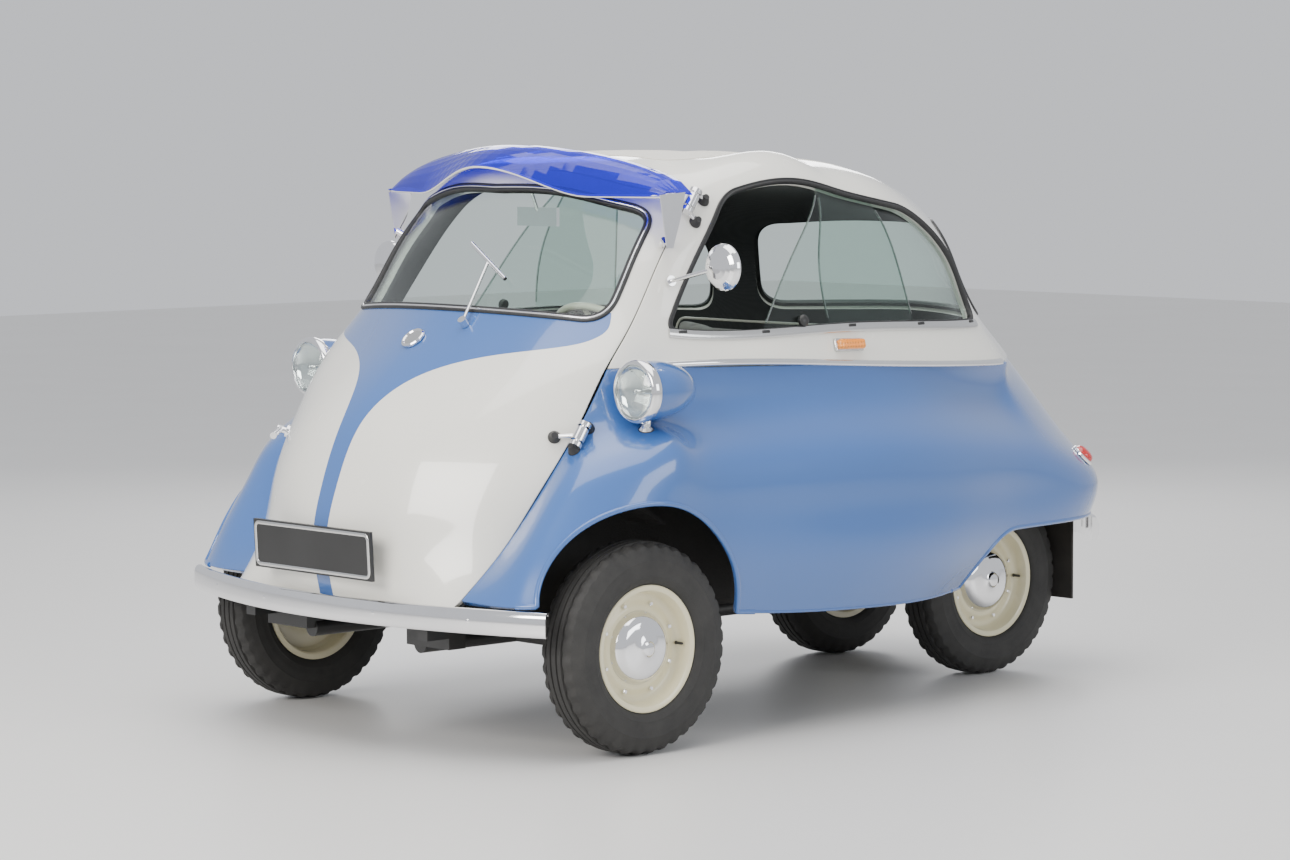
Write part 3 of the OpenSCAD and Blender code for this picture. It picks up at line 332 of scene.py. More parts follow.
def makeCloths():
    for name, warp, weft, pitch, depth in (
        ("roofCloth", (0.78, 0.76, 0.69, 1), (0.66, 0.64, 0.57, 1), 2400.0, 0.0005),
        ("seatCloth", (0.34, 0.33, 0.31, 1), (0.19, 0.185, 0.175, 1), 1500.0, 0.0008),
        # a woven lining for the inner faces; its near-black colour is painted shade, the dimness of the cabin
        # seen through the windows
        ("liningPaintedShade", (0.055, 0.056, 0.058, 1), (0.035, 0.036, 0.038, 1), 1900.0, 0.0005),
        ("floorMat", (0.040, 0.040, 0.040, 1), (0.020, 0.020, 0.020, 1), 520.0, 0.0016),
    ):
        s = Shader(name)
        x, y, z = s.axes()
        weave = ((x * pitch).sine() * ((y + z) * pitch).sine()) * 0.5 + 0.5
        slub = s.noise(240.0, 4, 0.6)
        s.set(colour=s.blend(weave * 0.7 + slub * 0.3, weft, warp), rough=0.82 + 0.1 * slub, sheen=0.25,
              sheenRough=0.5, normal=s.bump(weave + slub * 0.6, depth, 0.6))
        mats[name] = s.material
    s = Shader("seatPiping")
    s.set(colour=s.blend(s.noise(60.0, 4), (0.50, 0.48, 0.42, 1), (0.62, 0.60, 0.54, 1)), rough=0.45,
          normal=s.bump(s.noise(500.0), 0.0002, 0.5))
    mats["seatPiping"] = s.material
    s = Shader("dialFace")
    ring = s.noise(300.0)
    s.set(colour=s.blend(ring, (0.05, 0.05, 0.05, 1), (0.08, 0.08, 0.08, 1)), rough=0.35)
    mats["dialFace"] = s.material
    s = Shader("studioFloor")
    wear = s.noise(1.6, 6, 0.6)
    s.set(colour=s.blend(wear, studio["floorColour"], shade(studio["floorColour"], 0.95)),
            rough=0.34 + 0.12 * wear,
          normal=s.bump(s.noise(90.0, 3), 0.0004, 0.25))
    mats["studioFloor"] = s.material


makePaints()
makeMetals()
makeRubbers()
makePlastics()
makeClears()
makeCloths()
print("materials made:", len(mats))


# the body's two curved skins, from the same key points as the CAD shells

bodyShape = {
    "drawnFront": -1192, "drawnLength": 2285,
    "cabinU": [0, 240, 500, 585, 1160, 1680, 1790, 2030, 2240],
    "cabinV": [0, 115, 245, 390, 545, 665, 830, 980, 1050, 1170],
    "cabinRows": [
        [[0, -1152, 345], [222, -1134, 346], [400, -1082, 358], [440, -1030, 352], [580, -40, 285],
        [480, 500, 300], [420, 640, 420], [215, 960, 420], [0, 1020, 420]],
        [[0, -1170, 460], [228, -1122, 460], [432, -988, 462], [474, -915, 458], [598, -30, 430],
        [500, 520, 430], [430, 660, 500], [218, 950, 520], [0, 1010, 520]],
        [[0, -1142, 585], [240, -1092, 586], [470, -912, 588], [510, -835, 584], [596, -25, 580],
        [502, 540, 580], [436, 665, 600], [222, 925, 620], [0, 980, 625]],
        [[0, -1080, 722], [246, -1024, 722], [490, -820, 722], [526, -735, 720], [586, -24, 720],
        [500, 560, 712], [436, 668, 712], [224, 892, 722], [0, 934, 726]],
        [[0, -952, 858], [246, -898, 858], [490, -727, 860], [520, -620, 862], [565, -24, 842],
        [492, 575, 814], [432, 660, 814], [222, 850, 824], [0, 880, 828]],
        [[0, -814, 980], [246, -772, 974], [481, -648, 950], [505, -573, 937], [545, -4, 927],
        [464, 518, 915], [398, 598, 918], [212, 733, 924], [0, 778, 928]],
        [[0, -722, 1124], [241, -681, 1115], [467, -545, 1096], [483, -462, 1098], [512, 20, 1090],
        [427, 478, 1052], [364, 546, 1046], [196, 678, 1046], [0, 718, 1048]],
        [[0, -640, 1252], [232, -597, 1242], [445, -450, 1210], [453, -350, 1236], [454, 56, 1240],
        [383, 402, 1180], [324, 492, 1166], [176, 610, 1170], [0, 646, 1174]],
        [[0, -594, 1302], [222, -552, 1292], [418, -404, 1262], [412, -305, 1292], [404, 40, 1290],
        [344, 350, 1240], [288, 436, 1226], [156, 548, 1232], [0, 580, 1238]],
        [[0, -400, 1330], [200, -394, 1328], [318, -356, 1320], [330, -300, 1323], [335, 0, 1320],
        [300, 255, 1285], [270, 300, 1275], [120, 338, 1276], [0, 342, 1277]]
    ],
    "wingU": [0, 120, 250, 700, 1150, 1470, 1790, 2110, 2420, 2700],
    "wingV": [0, 115, 235, 355, 430, 570],
    "wingRows": [
        [[400, -1082, 356], [530, -1075, 354], [622, -1030, 358], [640, -520, 303], [634, -66, 272],
        [582, 250, 266], [500, 530, 280], [492, 830, 300], [268, 1005, 330], [0, 1030, 335]],
        [[430, -992, 458], [546, -1020, 452], [634, -945, 462], [666, -530, 420], [680, -66, 395],
        [650, 250, 388], [586, 542, 382], [522, 862, 402], [280, 1036, 420], [0, 1058, 425]],
        [[462, -926, 562], [560, -945, 556], [640, -852, 572], [670, -548, 548], [682, -66, 525],
        [658, 250, 512], [601, 552, 500], [530, 886, 506], [288, 1040, 520], [0, 1060, 522]],
        [[482, -862, 660], [557, -856, 660], [620, -762, 690], [646, -562, 672], [665, -66, 660],
        [640, 254, 642], [580, 556, 620], [505, 772, 612], [272, 1002, 622], [0, 1024, 626]],
        [[491, -812, 732], [526, -765, 728], [554, -700, 735], [574, -550, 729], [600, -62, 730],
        [577, 260, 716], [502, 566, 696], [462, 700, 700], [252, 938, 716], [0, 958, 722]],
        [[490, -727, 858], [509, -652, 860], [522, -590, 859], [541, -470, 853], [565, -24, 840],
        [541, 290, 828], [492, 575, 812], [432, 660, 812], [222, 850, 822], [0, 880, 826]]
    ],
}
shiftY = -(2 * bodyShape["drawnFront"] + bodyShape["drawnLength"]) / 2


# second derivatives of the natural cubic through points at the parameters t
def bends(t, points):
    second = np.zeros_like(points)
    ratio, carry = [0.0], [np.zeros_like(points[0])]
    for i in range(1, len(t) - 1):
        a, b = t[i] - t[i - 1], t[i + 1] - t[i]
        w = 2 * (a + b) - a * ratio[-1]
        r = 6 * ((points[i + 1] - points[i]) / b - (points[i] - points[i - 1]) / a)
        ratio.append(b / w)
        carry.append((r - a * carry[-1]) / w)
    for i in range(len(t) - 2, 0, -1):
        second[i] = carry[i] - ratio[i] * second[i + 1]
    return second


def spanOf(t, x):
    i = np.clip(np.searchsorted(t, x, side="right") - 1, 0, len(t) - 2)
    return i, t[i + 1] - t[i]


class Skin:
    def __init__(self, u, v, rows, crossesFront):
        self.end = u[-1]
        self.v = np.array(v, float)
        flip = np.array([-1, 1, 1.0])
        self.t = np.array(([-u[2], -u[1]] if crossesFront else []) + u + [2 * u[-1] - u[-2],
                2 * u[-1] - u[-3]], float)
        lines = []
        for row in rows:
            row = [np.array(p, float) + [0, shiftY, 0] for p in row]
            ahead = [row[2] * flip, row[1] * flip] if crossesFront else []
            lines.append(ahead + row + [row[-2] * flip, row[-3] * flip])
        self.keys = np.array(lines).transpose(1, 0, 2) / 1000
        self.second = bends(self.t, self.keys)

    def at(self, u, v):
        u, v = np.atleast_1d(np.asarray(u, float)), np.atleast_1d(np.asarray(v, float))
        u, v = np.broadcast_arrays(u, v)
        w = np.abs(u)
        side = (u < 0) != (w > self.end)
        x = np.where(w > self.end, 2 * self.end - w, w)
        i, h = spanOf(self.t, x)
        a = ((self.t[i + 1] - x) / h)[:, None, None]
        b, h = 1 - a, h[:, None, None]
        k = a * self.keys[i] + b * self.keys[i + 1] + ((a ** 3 - a) * self.second[i] + (b ** 3 - b)
                * self.second[i + 1]) * h * h / 6
        k = k.transpose(1, 0, 2)
        s = bends(self.v, k)
        j, h = spanOf(self.v, v)
        a = ((self.v[j + 1] - v) / h)[:, None]
        b, h, n = 1 - a, h[:, None], np.arange(len(u))
        q = a * k[j, n] + b * k[j + 1, n] + ((a ** 3 - a) * s[j, n] + (b ** 3 - b) * s[j + 1, n]) * h * h / 6
        q[side, 0] *= -1
        return q

    def out(self, u, v):
        u, v = np.atleast_1d(np.asarray(u, float)), np.atleast_1d(np.asarray(v, float))
        along = self.at(u + 3, v) - self.at(u - 3, v)
        up = self.at(u, v + 3) - self.at(u, v - 3)
        n = np.cross(along, up)
        return n / np.linalg.norm(n, axis=1)[:, None]

    # the (u, v) whose y and z are those given, by a few Newton steps
    def atSide(self, y, z, guessU, guessV):
        u, v = np.array(guessU, float) * np.ones(len(y)), np.array(guessV, float) * np.ones(len(y))
        for _ in range(14):
            p = self.at(u, v)
            du, dv = self.at(u + 2, v) - p, self.at(u, v + 2) - p
            ry, rz = y - p[:, 1], z - p[:, 2]
            det = du[:, 1] * dv[:, 2] - du[:, 2] * dv[:, 1]
            u = u + 2 * np.clip((ry * dv[:, 2] - rz * dv[:, 1]) / det, -60, 60)
            v = v + 2 * np.clip((du[:, 1] * rz - du[:, 2] * ry) / det, -60, 60)
        return u, v

    def vAtHeight(self, u, z):
        low, high = np.zeros(len(u)), np.full(len(u), self.v[-1])
        for _ in range(30):
            mid = (low + high) / 2
            below = self.at(u, mid)[:, 2] < z
            low, high = np.where(below, mid, low), np.where(below, high, mid)
        return (low + high) / 2


cabin = Skin(bodyShape["cabinU"], bodyShape["cabinV"], bodyShape["cabinRows"], True)
wing = Skin(bodyShape["wingU"], bodyShape["wingV"], bodyShape["wingRows"], False)
print("body curves ready")


# outlines in (u, v)


def roundedLoop(corners, steps=12):
    points = []
    for i, (x, y, r) in enumerate(corners):
        at = np.array([x, y], float)
        a = np.array(corners[i - 1][:2], float) - at
        b = np.array(corners[(i + 1) % len(corners)][:2], float) - at
        p, q = at + a / np.linalg.norm(a) * r, at + b / np.linalg.norm(b) * r
        for s in np.linspace(0, 1, steps + 1):
            points.append((1 - s) ** 2 * p + 2 * s * (1 - s) * at + s * s * q)
    return np.array(points)


def filledLoop(points, gap, closed=True):
    made = []
    count = len(points)
    for i in range(count if closed else count - 1):
        a, b = points[i], points[(i + 1) % count]
        n = max(1, int(math.ceil(np.linalg.norm(b - a) / gap)))
        made += [a + (b - a) * k / n for k in range(n)]
    if not closed:
        made.append(points[-1])
    return np.array(made)


def insetLoop(points, d):
    along = np.roll(points, -1, 0) - np.roll(points, 1, 0)
    along /= np.linalg.norm(along, axis=1)[:, None]
    return points + d * np.stack([-along[:, 1], along[:, 0]], 1)


def mirrorLoop(points, end):
    return np.array([[2 * end - p[0], p[1]] for p in points[::-1]])


# keeps the part of a loop where side(point) is not negative
def clipLoop(points, side):
    made = []
    for a, b in zip(points, np.roll(points, -1, 0)):
        sa, sb = side(a), side(b)
        if sa >= 0:
            made.append(a)
        if sa * sb < 0:
            made.append(a + (b - a) * sa / (sa - sb))
    return np.array(made)


def smoothLine(points, steps=10):
    t = np.arange(len(points), dtype=float)
    p = np.array(points, float)
    s = bends(t, p)
    x = np.linspace(0, len(points) - 1, (len(points) - 1) * steps + 1)
    i, h = spanOf(t, x)
    a = (t[i + 1] - x)[:, None]
    b = 1 - a
    return a * p[i] + b * p[i + 1] + ((a ** 3 - a) * s[i] + (b ** 3 - b) * s[i + 1]) / 6


def insideLoop(points, loop):
    x, y = points[:, 0], points[:, 1]
    hit = np.zeros(len(points), bool)
    for a, b in zip(loop, np.roll(loop, -1, 0)):
        if a[1] == b[1]:
            continue
        crosses = ((a[1] > y) != (b[1] > y)) & (x < (b[0] - a[0]) * (y - a[1]) / (b[1] - a[1]) + a[0])
        hit ^= crosses
    return hit


doorway = {
    "wall": 0.030,
    "petal": [(25, -60), (25, 60), (26, 170), (28, 300), (33, 385), (49, 448), (86, 503), (150, 543),
    (238, 570),
              (330, 588), (402, 605), (438, 625), (452, 652), (440, 690)],
}
doorLoop = roundedLoop([(-500, -24, 4), (500, -24, 4), (500, 1046, 90), (-500, 1046, 90)])
screenLoop = filledLoop(roundedLoop([(-436, 664, 62), (436, 664, 62), (436, 990, 70), (-436, 990, 70)]), 22)
sideLoop = filledLoop(roundedLoop([(596, 668, 34), (1672, 668, 60), (1672, 984, 190), (596, 984, 44)], 16),
        22)
rearLoop = filledLoop(roundedLoop([(1800, 668, 80), (2680, 668, 80), (2680, 972, 90), (1800, 972, 90)]), 22)


# mesh helpers


def finishMesh(name, verts, faces, materials, faceMaterials=None, normals=None):
    mesh = bpy.data.meshes.new(name)
    mesh.from_pydata([tuple(p) for p in verts], [], faces)
    for m in materials:
        mesh.materials.append(mats[m])
    if faceMaterials is not None:
        mesh.polygons.foreach_set("material_index", faceMaterials)
    mesh.polygons.foreach_set("use_smooth", [True] * len(mesh.polygons))
    mesh.update()
    if normals is not None:
        mesh.normals_split_custom_set_from_vertices([tuple(n) for n in normals])
    piece = bpy.data.objects.new(name, mesh)
    bpy.context.scene.collection.objects.link(piece)
    return piece


# a shell over a region of a skin: cut outline and holes, rounded edges, given thickness
def shellPiece(name, skin, outline, holes, step, wall, materials, depth=0.0, edge=0.0025, lines=(),
        paint=None,
               innerSlot=0, weld=False):
    loops = [outline] + list(holes)
    flat, edges = [], []
    for loop in loops:
        start = len(flat)
        flat += list(loop)
        edges += [(start + i, start + (i + 1) % len(loop)) for i in range(len(loop))]
    for line in lines:
        start = len(flat)
        flat += list(line)
        edges += [(start + i, start + i + 1) for i in range(len(line) - 1)]
    flat = np.array(flat, float)
    low, high = outline.min(0), outline.max(0)
    us = np.arange(low[0] + step / 2, high[0], step)
    vs = np.arange(low[1] + step / 2, high[1], step)
    grid = np.stack(np.meshgrid(us, vs), -1).reshape(-1, 2)
    grid[:, 0] += np.where(np.floor((grid[:, 1] - low[1]) / step) % 2 > 0, step / 2, 0)
    keep = insideLoop(grid, outline)
    for hole in holes:
        keep &= ~insideLoop(grid, hole)
    grid = grid[keep]
    for a, b in edges:
        p, q = flat[a], flat[b]
        near = np.where((np.abs(grid[:, 0] - p[0]) < 3 * step) & (np.abs(grid[:, 1] - p[1]) < 3 * step))[0]
        if len(near) == 0:
            continue
        d = q - p
        t = np.clip(((grid[near] - p) @ d) / max(d @ d, 1e-9), 0, 1)
        gap = np.linalg.norm(grid[near] - (p + t[:, None] * d), axis=1)
        grid = np.delete(grid, near[gap < step * 0.45], axis=0)
    allPoints = [Vector(p) for p in np.vstack([flat, grid])]
    made, _, tris, _, _, _ = delaunay_2d_cdt(allPoints, edges, [], 0, 1e-5)
    uv = np.array([tuple(p) for p in made])
    tris = np.array([t for t in tris if len(t) == 3])
    mid = uv[tris].mean(1)
    good = insideLoop(mid, outline)
    for hole in holes:
        good &= ~insideLoop(mid, hole)
    tris, mid = tris[good], mid[good]
    a, b, c = uv[tris[:, 0]], uv[tris[:, 1]], uv[tris[:, 2]]
    turned = np.cross(b - a, c - a) < 0
    tris[turned] = tris[turned][:, ::-1]
    slots = paint(mid) if paint is not None else np.zeros(len(tris), int)
    surface = skin.at(uv[:, 0], uv[:, 1])
    normal = skin.out(uv[:, 0], uv[:, 1])
    surface = surface - depth * normal
    if weld:
        keyed, remap = {}, np.arange(len(surface))
        for i, p in enumerate(surface):
            k = tuple(np.round(p * 20000).astype(int))
            remap[i] = keyed.setdefault(k, i)
        tris = remap[tris]
    return thickPiece(name, surface, normal, tris, slots, wall, materials, edge, innerSlot)


def thickPiece(name, surface, normal, tris, slots, wall, materials, edge, innerSlot):
    used = np.unique(tris)
    index = np.full(len(surface), -1)
    index[used] = np.arange(len(used))
    tris, surface, normal = index[tris], surface[used], normal[used]
    count = len(surface)
    owner = {}
    for t, (i, j, k) in enumerate(tris):
        owner[(i, j)], owner[(j, k)], owner[(k, i)] = t, t, t
    rim = [(i, j, t) for (i, j), t in owner.items() if (j, i) not in owner]
    lateral = np.zeros((count, 3))
    for i, j, t in rim:
        side = np.cross(surface[j] - surface[i], normal[i] + normal[j])
        side /= np.linalg.norm(side) + 1e-12
        lateral[i] += side
        lateral[j] += side
    edgeIds = sorted({i for i, j, t in rim} | {j for i, j, t in rim})
    lateral /= np.linalg.norm(lateral, axis=1)[:, None] + 1e-12
    verts = [surface]
    norms = [normal]
    ringOf = {v: n for n, v in enumerate(edgeIds)}
    s, n, l = surface[edgeIds], normal[edgeIds], lateral[edgeIds]
    rings = []
    total = count
    arcs = [30, 60, 90] if edge > 0 else []
    for arc in arcs:
        a = math.radians(arc)
        verts.append(s + edge * math.sin(a) * l - edge * (1 - math.cos(a)) * n)
        norms.append(math.sin(a) * l + math.cos(a) * n)
        rings.append(total)
        total += len(edgeIds)
    reach = edge if edge > 0 else 0
    if edge <= 0:
        verts.append(s)
        norms.append(l)
        rings.append(total)
        total += len(edgeIds)
    verts.append(s + reach * l - wall * n)
    norms.append(l)
    rings.append(total)
    total += len(edgeIds)
    verts.append(s + reach * l - wall * n)
    norms.append(-n)
    innerRing = total
    total += len(edgeIds)
    inner = np.full(count, -1)
    middle = np.array([i for i in range(count) if i not in ringOf])
    inner[middle] = total + np.arange(len(middle))
    verts.append(surface[middle] - wall * normal[middle])
    norms.append(-normal[middle])
    for v, k in ringOf.items():
        inner[v] = innerRing + k
    faces, faceSlots = [tuple(int(x) for x in t) for t in tris], list(int(x) for x in slots)
    faces += [tuple(int(inner[x]) for x in t[::-1]) for t in tris]
    faceSlots += [innerSlot] * len(tris)
    for i, j, t in rim:
        a, b = ringOf[i], ringOf[j]
        path = ([] if edge <= 0 else [(i, j)]) + [(r + a, r + b) for r in rings]
        for (p, q), (p2, q2) in zip(path, path[1:]):
            faces.append((int(p), int(p2), int(q2), int(q)))
            faceSlots.append(int(slots[t]))
    return finishMesh(name, np.vstack(verts), faces, materials, faceSlots, np.vstack(norms))


# a strip with a given section along a line of points, out of the surface by its normals
def stripPiece(name, points, normals, section, material, closed=True, smoothAngle=50):
    points, normals = np.array(points), np.array(normals)
    if closed:
        along = np.roll(points, -1, 0) - np.roll(points, 1, 0)
    else:
        along = np.gradient(points, axis=0)
    along /= np.linalg.norm(along, axis=1)[:, None]
    across = np.cross(along, normals)
    across /= np.linalg.norm(across, axis=1)[:, None]
    out = np.cross(across, along)
    k, n = len(section), len(points)
    verts = [points[i] + across[i] * a + out[i] * b for i in range(n) for a, b in section]
    faces = []
    for i in range(n if closed else n - 1):
        for j in range(k):
            a, b = i * k + j, i * k + (j + 1) % k
            c, d = ((i + 1) % n) * k + j, ((i + 1) % n) * k + (j + 1) % k
            faces.append((a, b, d, c))
    if not closed:
        faces += [tuple(range(k))[::-1], tuple((n - 1) * k + j for j in range(k))]
    piece = finishMesh(name, verts, faces, [material])
    tidyNormals(piece, smoothAngle)
    return piece


def selectOnly(piece):
    bpy.ops.object.select_all(action="DESELECT")
    piece.select_set(True)
    bpy.context.view_layer.objects.active = piece


def tidyNormals(piece, angle=40):
    selectOnly(piece)
    bpy.ops.object.mode_set(mode="EDIT")
    bpy.ops.mesh.select_all(action="SELECT")
    bpy.ops.mesh.remove_doubles(threshold=0.00002)
    bpy.ops.mesh.normals_make_consistent(inside=False)
    bpy.ops.object.mode_set(mode="OBJECT")
    bpy.ops.object.shade_smooth_by_angle(angle=math.radians(angle))


def paintWith(piece, *materials):
    piece.data.materials.clear()
    for m in materials:
        piece.data.materials.append(mats[m])


# a solid turned on a lathe: the section is extruded point by point, then spun about the axis
def turnedPiece(name, section, at, way, material, steps=48, smoothAngle=35):
    bpy.ops.object.select_all(action="DESELECT")
    bpy.ops.mesh.primitive_plane_add(size=0.001, location=(0, 0, 0))
    piece = bpy.context.object
    piece.name = name
    bpy.ops.object.mode_set(mode="EDIT")
    bpy.ops.mesh.select_all(action="SELECT")
    bpy.ops.mesh.merge(type="CENTER")
    bpy.ops.transform.translate(value=(section[0][0], 0, section[0][1]))
    for (r0, z0), (r1, z1) in zip(section, section[1:]):
        bpy.ops.mesh.extrude_vertices_move(TRANSFORM_OT_translate={"value": (r1 - r0, 0, z1 - z0)})
    bpy.ops.mesh.select_all(action="SELECT")
    bpy.ops.mesh.spin(steps=steps, angle=math.tau, center=(0, 0, 0), axis=(0, 0, 1))
    bpy.ops.mesh.select_all(action="SELECT")
    bpy.ops.mesh.remove_doubles(threshold=0.00002)
    bpy.ops.mesh.normals_make_consistent(inside=False)
    bpy.ops.object.mode_set(mode="OBJECT")
    placeMesh(piece, at, way)
    bpy.ops.object.shade_smooth_by_angle(angle=math.radians(smoothAngle))
    paintWith(piece, material)
    return piece


# puts the place of a piece drawn up +Z into its mesh
def placeMesh(piece, at, way):
    turn = Vector(way).to_track_quat("Z", "Y").to_matrix().to_4x4()
    piece.data.transform(Matrix.Translation(Vector(at)) @ turn)
    piece.data.update()


def copyPiece(piece, name, matrix):
    twin = bpy.data.objects.new(name, piece.data.copy())
    bpy.context.scene.collection.objects.link(twin)
    twin.data.transform(matrix)
    if matrix.determinant() < 0:
        twin.data.flip_normals()
    twin.data.update()
    return twin


flipX = Matrix.Scale(-1, 4, (1, 0, 0))


def joinPieces(pieces, name):
    bpy.ops.object.select_all(action="DESELECT")
    for p in pieces:
        p.select_set(True)
    bpy.context.view_layer.objects.active = pieces[0]
    bpy.ops.object.join()
    pieces[0].name = name
    return pieces[0]


# a box with rounded edges, its place in its mesh
def blockPiece(name, centre, size, material, bevel=0.003, turn=None, segments=3):
    bpy.ops.object.select_all(action="DESELECT")
    bpy.ops.mesh.primitive_cube_add(size=1, location=(0, 0, 0))
    piece = bpy.context.object
    piece.name = name
    bpy.ops.object.mode_set(mode="EDIT")
    bpy.ops.mesh.select_all(action="SELECT")
    bpy.ops.transform.resize(value=size)
    bpy.ops.mesh.bevel(offset=bevel, segments=segments, profile=0.5, affect="EDGES")
    bpy.ops.object.mode_set(mode="OBJECT")
    piece.data.transform(Matrix.Translation(Vector(centre)) @ (turn.to_4x4() if turn else Matrix.Identity(4)))
    piece.data.update()
    bpy.ops.object.shade_smooth_by_angle(angle=math.radians(40))
    paintWith(piece, material)
    return piece


# a round bar along a smooth line
def barPiece(name, points, radius, material, sides=12, closed=False):
    line = np.array(points, float)
    normals = []
    guide = np.array([0.31, 0.17, 0.93])
    along = np.gradient(line, axis=0)
    for d in along:
        n = np.cross(d, guide)
        normals.append(n / np.linalg.norm(n))
    section = [(radius * math.cos(a), radius * math.sin(a)) for a in np.linspace(0, math.tau, sides,
            endpoint=False)]
    return stripPiece(name, line, normals, section, material, closed, 60)


def give(piece, body, slot, *nodes):
    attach(piece, body)
    if nodes:
        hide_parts(*nodes)
    return piece


# painted shells

shells = {"step": 15.0, "upperWall": 0.022, "lowerWall": 0.012, "lip": 0.0062, "skirtZ": 0.414,
          "archY": -0.7105, "archZ": 0.272, "archR": 0.297, "rearTurnY": 0.5745 - 0.142}


# the lower edge of the left wing in (u, v): sill, front arch, sill, rear skirt
def lowerEdge():
    a = np.radians(np.linspace(172, -4, 60))
    y = shells["archY"] + shells["archR"] * np.cos(a)
    z = shells["archZ"] + shells["archR"] * np.sin(a)
    u, v = wing.atSide(y, z, np.linspace(170, 860, 60), 120)
    arch = [np.array(q) for q in zip(u, v) if q[1] > 0.5]
    a = np.radians(np.linspace(0, 90, 18))
    y = shells["rearTurnY"] + 0.142 * (1 - np.cos(a))
    z = shells["archZ"] + 0.142 * np.sin(a)
    u, v = wing.atSide(y, z, np.linspace(1640, 1780, 18), np.linspace(10, 120, 18))
    turn = [np.array(q) for q in zip(u, v) if q[1] > 0.5]
    skirtU = np.linspace(turn[-1][0] + 18, 2700, 44)
    skirt = [np.array(q) for q in zip(skirtU, wing.vAtHeight(skirtU, shells["skirtZ"]))]
    first = filledLoop(np.array([[0, 0], [arch[0][0] - 2, 0]]), 20, False)
    sill = filledLoop(np.array([[arch[-1][0] + 2, 0], [turn[0][0] - 3, 0]]), 25, False)
    return list(first), arch, list(sill), turn, skirt


firstEdge, archEdge, sillEdge, turnEdge, skirtEdge = lowerEdge()
hatchLoop = filledLoop(roundedLoop([(3600, 170, 40), (3900, 170, 40), (3900, 330, 40), (3600, 330, 40)]), 20)


def makeLowerBody():
    left = np.array(firstEdge + archEdge + sillEdge + turnEdge + skirtEdge)
    right = mirrorLoop(left, 2700)
    top = [np.array([u, 567.0]) for u in np.arange(5400, -1, -20.0)]
    front = [np.array([0.0, v]) for v in np.arange(540, 10, -25.0)]
    back = [np.array([5400.0, v]) for v in np.arange(20, 560, 25.0)]
    outline = np.vstack([left, right[1:], back, top, front])
    piece = shellPiece("blueBody", wing, outline, [hatchLoop], 14.0, shells["lowerWall"],
                       ["skyBlue", "underSeal"], edge=0.0022, innerSlot=1)
    give(piece, "body", "blue_paint", "lower_body")
    lid = shellPiece("engineLid", wing, insetLoop(hatchLoop, 4.5), [], 14.0, 0.005, ["skyBlue", "underSeal"],
                     edge=0.0015, innerSlot=1)
    give(lid, "engine_lid", "blue_paint", "engine_cover")


# the rolled lip round the arches and under the skirt
def makeArchLips():
    def lip(name, line, radius):
        line = np.array(line)
        points = wing.at(line[:, 0], line[:, 1])
        normals = wing.out(line[:, 0], line[:, 1])
        points = points - normals * radius * 0.35
        section = [(radius * math.cos(a) * 1.05, radius * math.sin(a)) for a in np.linspace(0, math.tau, 14,
                endpoint=False)]
        return stripPiece(name, points, normals, section, "skyBlue", False, 80)

    front = lip("leftArchLip", firstEdge[-4:] + archEdge + sillEdge[:3], shells["lip"])
    rear = lip("leftSkirtLip", sillEdge[-3:] + turnEdge + skirtEdge[:-4], shells["lip"] * 0.9)
    sill = lip("leftSillEdge", sillEdge, shells["lip"] * 0.6)
    for piece, name in ((front, "rightArchLip"), (rear, "rightSkirtLip"), (sill, "rightSillEdge")):
        give(piece, "body", "blue_paint")
        give(copyPiece(piece, name, flipX), "body", "blue_paint")


def makeUpperBody():
    half = 503.0
    doorEdge = [np.array(p) for p in filledLoop(np.array([[half, 545], [half, 959]]), 16, False)]
    corner = [np.array([half - 90 * (1 - math.cos(a)),
            959 + 90 * math.sin(a)]) for a in np.radians(np.arange(6, 90, 6.0))]
    top = [np.array([u, 1049.0]) for u in np.arange(412, 1, -16.0)] + [np.array([0.0, 1049.0])]
    rim = [np.array([u, 1170.0]) for u in np.linspace(0, 4480, 220)]
    bottom = [np.array([u, 545.0]) for u in np.linspace(4480 - half, half, 200)]
    leftUp = doorEdge + corner + top
    rightUp = mirrorLoop(np.array(leftUp), 2240)
    outline = np.vstack([leftUp, [[0, 1110.0]], rim, [[4480, 1110.0]], rightUp[:-1], bottom[:-1]])
    sideRight = mirrorLoop(sideLoop, 2240)
    # the inner faces take the near-black lining, whose colour is painted shade of the dim cabin
    piece = shellPiece("whiteBody", cabin, outline, [sideLoop, sideRight, rearLoop], shells["step"],
                       shells["upperWall"], ["creamWhite", "liningPaintedShade"], edge=0.0022, innerSlot=1,
                       weld=True)
    give(piece, "body", "white_paint", "upper_body")


def makeDoor():
    outline = filledLoop(insetLoop(filledLoop(doorLoop, 16), 5.2), 16)
    right = smoothLine(doorway["petal"], 8)
    left = right * [-1, 1]
    clip = right[insideLoop(right, outline) & ~insideLoop(right, screenLoop)]
    lines = [clip, clip * [-1, 1]]
    blue = np.vstack([right, left[::-1]])

    def paint(mid):
        return np.where(insideLoop(mid, blue), 1, 0)

    # the door's inner faces take the near-black lining, whose colour is painted shade of the dim cabin
    piece = shellPiece("doorShell", cabin, outline, [screenLoop], 13.0, doorway["wall"],
                       ["creamWhite", "skyBlue", "liningPaintedShade"], edge=0.0025, lines=lines, paint=paint,
                       innerSlot=2)
    give(piece, "door", "white_paint", "front_door")
    # the rubber bead that the door shuts against, on the body side of the gap
    loop = filledLoop(insetLoop(filledLoop(doorLoop, 16), -5.0), 16)
    bead = stripPiece("doorShutSeal",
            cabin.at(loop[:, 0], loop[:, 1]) - 0.022 * cabin.out(loop[:, 0], loop[:, 1]),
                      cabin.out(loop[:, 0], loop[:, 1]), roundSection(0.0045, 0.006), "sealRubber")
    give(bead, "body", "rubber")


